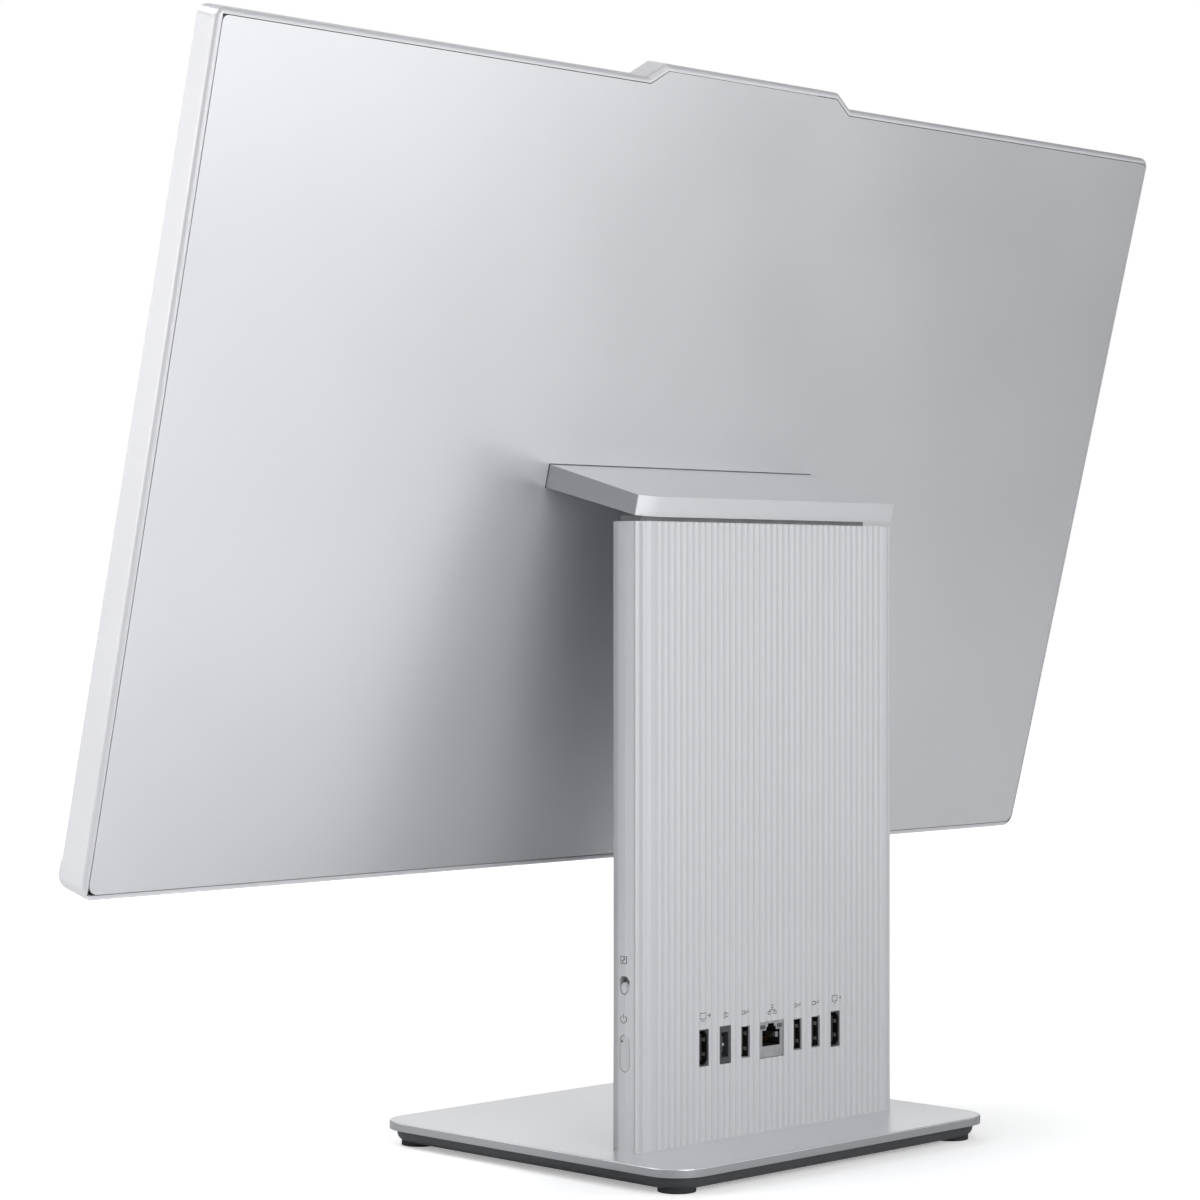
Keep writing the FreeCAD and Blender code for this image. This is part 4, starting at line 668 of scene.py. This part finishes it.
def tongue_contacts(name, across, up, side, count, pitch, width, reach):
    """Gilt strips along one side of a socket's tongue, each with its rounded nose."""
    mesh = bmesh.new()
    path = ((-reach, 0.05),) + CONTACT_NOSE
    for number in range(count):
        middle = up + (number - (count - 1) / 2) * pitch * MM
        formed_strip(mesh, path, width, CONTACT_THICKNESS, lambda depth, rise, along: Vector(
            (across + side * rise * MM, SOCKET_FACE + depth * MM, middle + along * MM)))
    new_piece(name, mesh, "stand", "gold_contact")


def spring_tabs(name, across, up, spread):
    """Two sprung tabs that stand out of a socket's wall and catch the light."""
    mesh = bmesh.new()
    for offset in (-spread, spread):
        formed_strip(mesh, SPRING_TAB, SPRING_TAB_WIDTH, SPRING_TAB_THICKNESS,
                     lambda depth, rise, along: Vector(
                         (across + rise * MM, SOCKET_FACE + depth * MM,
                          up + (offset + along) * MM)))
    piece = new_piece(name, mesh, "stand", "port_metal")
    add_bevel(piece, SPRING_TAB_ROUNDING * MM)


def usb_centres():
    """X and Z of the middles of the three USB sockets, which share one node.

    A gap between the X places of its vertices parts one socket from the next.
    """
    low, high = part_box("usb_ports")
    spots = sorted({round(v.co.x, 5) for v in nodes["usb_ports"].data.vertices})
    groups = [[spots[0]]]
    for spot in spots[1:]:
        if spot - groups[-1][-1] > USB_GAP * MM:
            groups.append([])
        groups[-1].append(spot)
    return [((group[0] + group[-1]) / 2, (low.z + high.z) / 2) for group in groups]


def dress_thin_sockets():
    """Contacts on the tongues of the two wide and three USB sockets, and their sprung tabs."""
    for name in ("hdmi_input", "hdmi_output"):
        middle = node_middle(name)
        tongue = middle.x + HDMI_TONGUE_ASIDE * MM
        half = HDMI_TONGUE_HALF * MM
        tongue_contacts(f"{name}_contacts_near", tongue + half, middle.z, side=1, count=10,
                        pitch=1.0, width=0.42, reach=9)
        tongue_contacts(f"{name}_contacts_far", tongue - half, middle.z, side=-1, count=9,
                        pitch=1.0, width=0.42, reach=9)
        spring_tabs(f"{name}_tabs", middle.x - TAB_WALL_ASIDE * MM, middle.z,
                    HDMI_TAB_SPREAD)
    for number, (across, up) in enumerate(usb_centres(), start=1):
        tongue = across + USB_TONGUE_ASIDE * MM
        tongue_contacts(f"usb_{number}_contacts", tongue - USB_TONGUE_HALF * MM, up, side=-1,
                        count=4, pitch=2.3, width=1.1, reach=9.5)
        spring_tabs(f"usb_{number}_tabs", across - TAB_WALL_ASIDE * MM, up, USB_TAB_SPREAD)


def network_lining(middle):
    """Thin black lining along the stepped walls of the network socket and across its back."""
    right = [(x - LINING_INSET, z + (LINING_INSET if z < 0 else -LINING_INSET))
             for x, z in CAVITY_HALF]
    outline = right + [(-x, z) for x, z in reversed(right)]
    mouth = SOCKET_FACE - LINING_MOUTH * MM
    end = mouth - CAVITY_DEPTH * MM
    mesh = bmesh.new()
    front = [mesh.verts.new((middle.x + x * MM, mouth, middle.z + z * MM)) for x, z in outline]
    back = [mesh.verts.new((v.co.x, end, v.co.z)) for v in front]
    join_rings(mesh, front, back)
    mesh.faces.new(back)
    piece = new_piece("network_lining", mesh, "stand", "black_plastic")
    add_wall(piece, LINING_THICKNESS * MM, 1)


def dress_network_socket():
    """Black lining, eight contact wires, a shield tab and two small lamps."""
    middle = node_middle("ethernet_port")
    network_lining(middle)

    mesh = bmesh.new()
    for number in range(NETWORK_WIRES):
        x = middle.x + (number - (NETWORK_WIRES - 1) / 2) * NETWORK_WIRE_PITCH * MM
        formed_strip(mesh, NETWORK_WIRE, NETWORK_WIRE_WIDTH, NETWORK_WIRE_THICKNESS,
                     lambda depth, rise, along: Vector(
                         (x + along * MM, SOCKET_FACE + depth * MM, middle.z + rise * MM)))
    new_piece("network_contacts", mesh, "stand", "gold_contact")

    mesh = bmesh.new()
    formed_strip(mesh, SHIELD_TAB, SHIELD_TAB_WIDTH, SHIELD_TAB_THICKNESS,
                 lambda depth, rise, along: Vector(
                     (middle.x - rise * MM, SOCKET_FACE + depth * MM,
                      middle.z + (SHIELD_TAB_UP + along) * MM)))
    tab = new_piece("network_shield_tab", mesh, "stand", "satin_nickel")
    add_bevel(tab, SHIELD_TAB_ROUNDING * MM)

    for name, side in (("right", 1), ("left", -1)):
        mesh = bmesh.new()
        rear_plate(mesh, middle.x + side * LAMP_ASIDE * MM, middle.z + LAMP_UP * MM,
                   LAMP_HALF_WIDTH * MM, LAMP_HALF_HEIGHT * MM,
                   SOCKET_FACE - LAMP_SUNK * MM, SOCKET_FACE + LAMP_PROUD * MM, LAMP_CLIP * MM)
        lamp = new_piece(f"network_lamp_{name}", mesh, "stand", "lamp_window")
        add_bevel(lamp, LAMP_ROUNDING * MM)


def dress_power_socket():
    """The contact pin in the middle of the power socket."""
    middle = node_middle("power_socket")
    mesh = bmesh.new()
    bmesh.ops.create_cone(mesh, cap_ends=True, segments=24, radius1=PIN_ROOT_RADIUS * MM,
                          radius2=PIN_TIP_RADIUS * MM, depth=PIN_LENGTH * MM)
    for vertex in mesh.verts:
        x, y, z = vertex.co
        vertex.co = (middle.x + x, SOCKET_FACE - PIN_DEPTH * MM + z, middle.z + y)
    pin = new_piece("power_contact_ring", mesh, "stand", "port_metal")
    add_bevel(pin, PIN_ROUNDING * MM)


# ---------------------------------------------------------------- printed glyphs

# Glyphs are drawn in millimetres, on a plane whose X runs to the right as the wall is looked at.

STROKE_WIDTH = 0.32
STROKE_STEP = 0.35
SHARPEST_MITRE = 0.5
GLYPH_LIFT = 0.02
FILM_THICKNESS = 0.012
SIGN_ABOVE_SOCKET = 13.2
SIGN_ABOVE_POWER = 15.2
SIGN_ABOVE_MODE = 11
SIGN_ASIDE = -0.2
# Places outside the walls, in metres, from which rays find them
OUTSIDE_REAR = 0.07
OUTSIDE_RIGHT = 0.1


def arc(across, up, radius, start, end, steps=14):
    """Points along an arc, from one angle to another."""
    return [(across + radius * math.cos(start + (end - start) * i / steps),
             up + radius * math.sin(start + (end - start) * i / steps)) for i in range(steps + 1)]


def box_path(left, right, low, high):
    """Corners of an upright rectangle."""
    return [(left, low), (right, low), (right, high), (left, high)]


# Each glyph is a row of strokes, and each stroke its points and whether it closes on itself.
SCREEN_GLYPH = (
    (box_path(-2.4, 1.2, -0.4, 2.2), True),
    ([(-1.6, -1.3), (0.6, -1.3)], False),
    ([(2.0, 0.9), (4.0, 0.9)], False),
    ([(3.2, 1.7), (4.0, 0.9), (3.2, 0.1)], False),
)
PLUG_GLYPH = (
    (arc(0, 0, 1.4, 90 * DEGREE, 270 * DEGREE), False),
    ([(0, -1.4), (0, 1.4)], False),
    ([(0, 0.7), (1.5, 0.7)], False),
    ([(0, -0.7), (1.5, -0.7)], False),
)
DATA_GLYPH = (
    (box_path(-2.4, -0.4, -0.7, 0.7), True),
    ([(-0.4, 0), (2.6, 0)], False),
    ([(0.6, 0), (1.3, 1.0), (2.2, 1.0)], False),
)
NETWORK_GLYPH = (
    (box_path(-0.8, 0.8, 0.9, 2.2), True),
    ([(0, 0.9), (0, 0)], False),
    ([(-1.9, -0.7), (-1.9, 0), (1.9, 0), (1.9, -0.7)], False),
    (box_path(-2.6, -1.2, -1.8, -0.7), True),
    (box_path(1.2, 2.6, -1.8, -0.7), True),
)
POWER_GLYPH = (
    (arc(0, -0.2, 1.7, 125 * DEGREE, 415 * DEGREE, 22), False),
    ([(0, 0.2), (0, 2.1)], False),
)
MODE_GLYPH = (
    (box_path(-1.7, 1.7, -1.5, 1.5), True),
    ([(-0.8, -0.7), (0.8, 0.7)], False),
    ([(0.0, 0.75), (0.85, 0.75), (0.85, -0.05)], False),
    ([(-0.85, 0.0), (-0.85, -0.75), (0.0, -0.75)], False),
)


def surface_tree(name):
    """Search tree over a CAD node's faces."""
    data = nodes[name].data
    return BVHTree.FromPolygons([v.co for v in data.vertices],
                                [p.vertices for p in data.polygons])


def resample(points, closed):
    """The same polyline with extra points, so that it can follow a ribbed wall."""
    loop = list(points) + ([points[0]] if closed else [])
    dense = []
    for start, end in zip(loop, loop[1:]):
        a = Vector(start)
        b = Vector(end)
        parts = max(1, math.ceil((b - a).length / STROKE_STEP))
        dense += [a.lerp(b, i / parts) for i in range(parts)]
    if not closed:
        dense.append(Vector(loop[-1]))
    return dense


def add_stroke(mesh, points, closed, place):
    """A ribbon along a polyline in the glyph's own plane, laid on the wall by place."""
    line = resample(points, closed)
    count = len(line)
    rails = []
    for i, point in enumerate(line):
        before = line[i - 1] if closed or i > 0 else point
        after = line[(i + 1) % count] if closed or i < count - 1 else point
        runs = [run.normalized() for run in (point - before, after - point) if run.length > 0]
        incoming = runs[0]
        outgoing = runs[-1]
        mean = (incoming + outgoing).normalized()
        normal = Vector((-mean.y, mean.x))
        mitre = max(SHARPEST_MITRE, abs(normal.dot(Vector((-outgoing.y, outgoing.x)))))
        reach = STROKE_WIDTH / 2 / mitre
        left = mesh.verts.new(place(point + normal * reach))
        right = mesh.verts.new(place(point - normal * reach))
        rails.append((left, right))
    pairs = list(zip(rails, rails[1:])) + ([(rails[-1], rails[0])] if closed else [])
    for (a, b), (c, d) in pairs:
        mesh.faces.new((a, b, d, c))


def add_glyph(name, strokes, across, up, cover):
    """A printed sign, a hair above the rear cover (across is X) or the right trim (across is Y)."""
    tree = surface_tree(cover)
    on_rear = cover == "column_rear_cover"

    def place(point):
        if on_rear:
            start = Vector((across - point.x * MM, OUTSIDE_REAR, up + point.y * MM))
            direction = Vector((0, -1, 0))
        else:
            start = Vector((OUTSIDE_RIGHT, across + point.x * MM, up + point.y * MM))
            direction = Vector((-1, 0, 0))
        hit = tree.ray_cast(start, direction)[0]
        return hit - direction * GLYPH_LIFT * MM

    mesh = bmesh.new()
    for points, closed in strokes:
        add_stroke(mesh, points, closed, place)
    piece = new_piece(name, mesh, "stand", "glyph_ink")
    add_wall(piece, FILM_THICKNESS * MM, 0)


def print_glyphs():
    """A sign above each socket and each button."""
    rear = "column_rear_cover"
    for name, sign in (("hdmi_input", SCREEN_GLYPH), ("hdmi_output", SCREEN_GLYPH),
                       ("power_socket", PLUG_GLYPH), ("ethernet_port", NETWORK_GLYPH)):
        middle = node_middle(name)
        add_glyph(f"glyph_{name}", sign, middle.x, middle.z + SIGN_ABOVE_SOCKET * MM, rear)
    for number, (across, up) in enumerate(usb_centres(), start=1):
        add_glyph(f"glyph_usb_{number}", DATA_GLYPH, across, up + SIGN_ABOVE_SOCKET * MM, rear)
    power = node_middle("power_button")
    mode = node_middle("mode_button")
    add_glyph("glyph_power", POWER_GLYPH, power.y + SIGN_ASIDE * MM,
              power.z + SIGN_ABOVE_POWER * MM, "side_trim_right")
    add_glyph("glyph_mode", MODE_GLYPH, mode.y + SIGN_ASIDE * MM,
              mode.z + SIGN_ABOVE_MODE * MM, "side_trim_right")


# ---------------------------------------------------------------- button, lens and painted seam shade

KEY_RADIUS = 2.6 * MM
KEY_SEGMENTS = 48
KEY_START = 1.0 * MM
FLANGE_THICKNESS = 1.2 * MM
# From the middle of the mode button's box, which its flange makes longer, to its round key
KEY_DROP = 1.3 * MM
RIM_ROUNDING = 0.35 * MM
RIM_SHOULDER = 0.1 * MM
DISH_DEPTH = 0.55 * MM
DISH_SHARES = (0.8, 0.62, 0.42, 0.2)
LARGEST_SMOOTH_FACE = 2 * MM * MM


def ring_of(mesh, middle, radius, x):
    """A closed ring of vertices round an axis that runs along X."""
    turns = [2 * math.pi * i / KEY_SEGMENTS for i in range(KEY_SEGMENTS)]
    return [mesh.verts.new((x, middle.y + radius * math.cos(turn),
                            middle.z + radius * math.sin(turn))) for turn in turns]


def dished_button():
    """The mode button with its rounded rim and hollowed thumb face."""
    low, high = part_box("mode_button")
    middle = (low + high) / 2
    stem = Vector((0, middle.y, middle.z - KEY_DROP))
    rim = high.x
    profile = [(KEY_RADIUS, low.x + KEY_START), (KEY_RADIUS, rim - RIM_ROUNDING),
               (KEY_RADIUS - RIM_SHOULDER, rim - RIM_SHOULDER), (KEY_RADIUS - RIM_ROUNDING, rim)]
    for share in DISH_SHARES:
        profile.append((KEY_RADIUS * share, rim - DISH_DEPTH * (1 - share ** 2)))
    mesh = bmesh.new()
    rings = [ring_of(mesh, stem, radius, x) for radius, x in profile]
    for first, second in zip(rings, rings[1:]):
        join_rings(mesh, first, second)
    mesh.faces.new(rings[-1])
    mesh.faces.new(rings[0])
    add_block(mesh, low, (low.x + FLANGE_THICKNESS, high.y, high.z))
    for face in mesh.faces:
        # the bands of the key are smooth; its ends and the flange are flat
        face.smooth = len(face.verts) == 4 and face.calc_area() < LARGEST_SMOOTH_FACE
    piece = new_piece("mode_button_dished", mesh, "mode_key", "button_silver")
    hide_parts("mode_button")


# The display is a thin wedge: its screen side leans back a little more than its rear side does.
SCREEN_LEAN = 14.93 * DEGREE
REAR_LEAN = 14.32 * DEGREE


def display_axes(lean):
    """Directions square to a side of the display, towards the viewer, and up along it."""
    forward = Vector((0, -math.cos(lean), math.sin(lean)))
    upward = Vector((0, math.sin(lean), math.cos(lean)))
    return forward, upward


LENS_RADIUS = 2.3 * MM
LENS_SHARE = 0.6


def camera_lens():
    """Glass dome over the webcam's barrel.

    It takes a share of the room in front of the barrel, and the shutter passes in the rest.
    """
    low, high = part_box("camera_barrel")
    forward, upward = display_axes(SCREEN_LEAN)
    middle = (low + high) / 2
    barrel_front = max(v.co.dot(forward) for v in nodes["camera_barrel"].data.vertices)
    shutter_back = min(v.co.dot(forward) for v in nodes["camera_shutter"].data.vertices)
    flattening = LENS_SHARE * (shutter_back - barrel_front) / LENS_RADIUS
    from_middle = barrel_front - middle.dot(forward)
    mesh = bmesh.new()
    bmesh.ops.create_uvsphere(mesh, u_segments=32, v_segments=16, radius=LENS_RADIUS)
    for vertex in mesh.verts:
        x, y, z = vertex.co
        out = forward * (flattening * z + from_middle)
        vertex.co = middle + Vector((x, 0, 0)) + upward * y + out
    for face in mesh.faces:
        face.smooth = True
    new_piece("camera_lens", mesh, "display", "lens_glass")


# A thin dark strip at the hinge cap's root: painted shade of the seam there
SEAM_SHADE_WIDTH = 0.4 * MM
SEAM_SHADE_HEIGHT = 0.3 * MM
SEAM_SHADE_TAPER = 0.8
# Corners of the hinge cap that are this close to the display's back are where it meets it
CAP_ROOT = 0.2 * MM


def cap_seam_shade():
    """Painted shade: a thin dark strip round the hinge cap, where it meets the display's back,
    built as a rubber strip in the seam.
    """
    forward, upward = display_axes(REAR_LEAN)
    away = -forward
    corners = [v.co for v in nodes["hinge_cap"].data.vertices]
    ground = min(corner.dot(away) for corner in corners)
    root = [corner for corner in corners if corner.dot(away) < ground + CAP_ROOT]
    low = min(corner.dot(upward) for corner in root)
    high = max(corner.dot(upward) for corner in root)
    side = max(corner.x for corner in root)
    section = ((0, 0), (SEAM_SHADE_WIDTH, 0), (SEAM_SHADE_WIDTH * SEAM_SHADE_TAPER, SEAM_SHADE_HEIGHT), (0, SEAM_SHADE_HEIGHT))
    mesh = bmesh.new()
    rings = []
    for reach, lift in section:
        outline = ((side + reach, low - reach), (side + reach, high + reach),
                   (-side - reach, high + reach), (-side - reach, low - reach))
        rings.append([mesh.verts.new(Vector((x, 0, 0)) + upward * up + away * (ground + lift))
                      for x, up in outline])
    for first, second in zip(rings, rings[1:] + rings[:1]):
        join_rings(mesh, first, second)
    # painted shade of the seam, made of dark rubber
    new_piece("cap_seam_shade", mesh, "display", "seal_rubber")


# ---------------------------------------------------------------- everything together

add_camera()
add_studio()
dress_nodes()
dress_thin_sockets()
dress_network_socket()
dress_power_socket()
print_glyphs()
dished_button()
camera_lens()
cap_seam_shade()
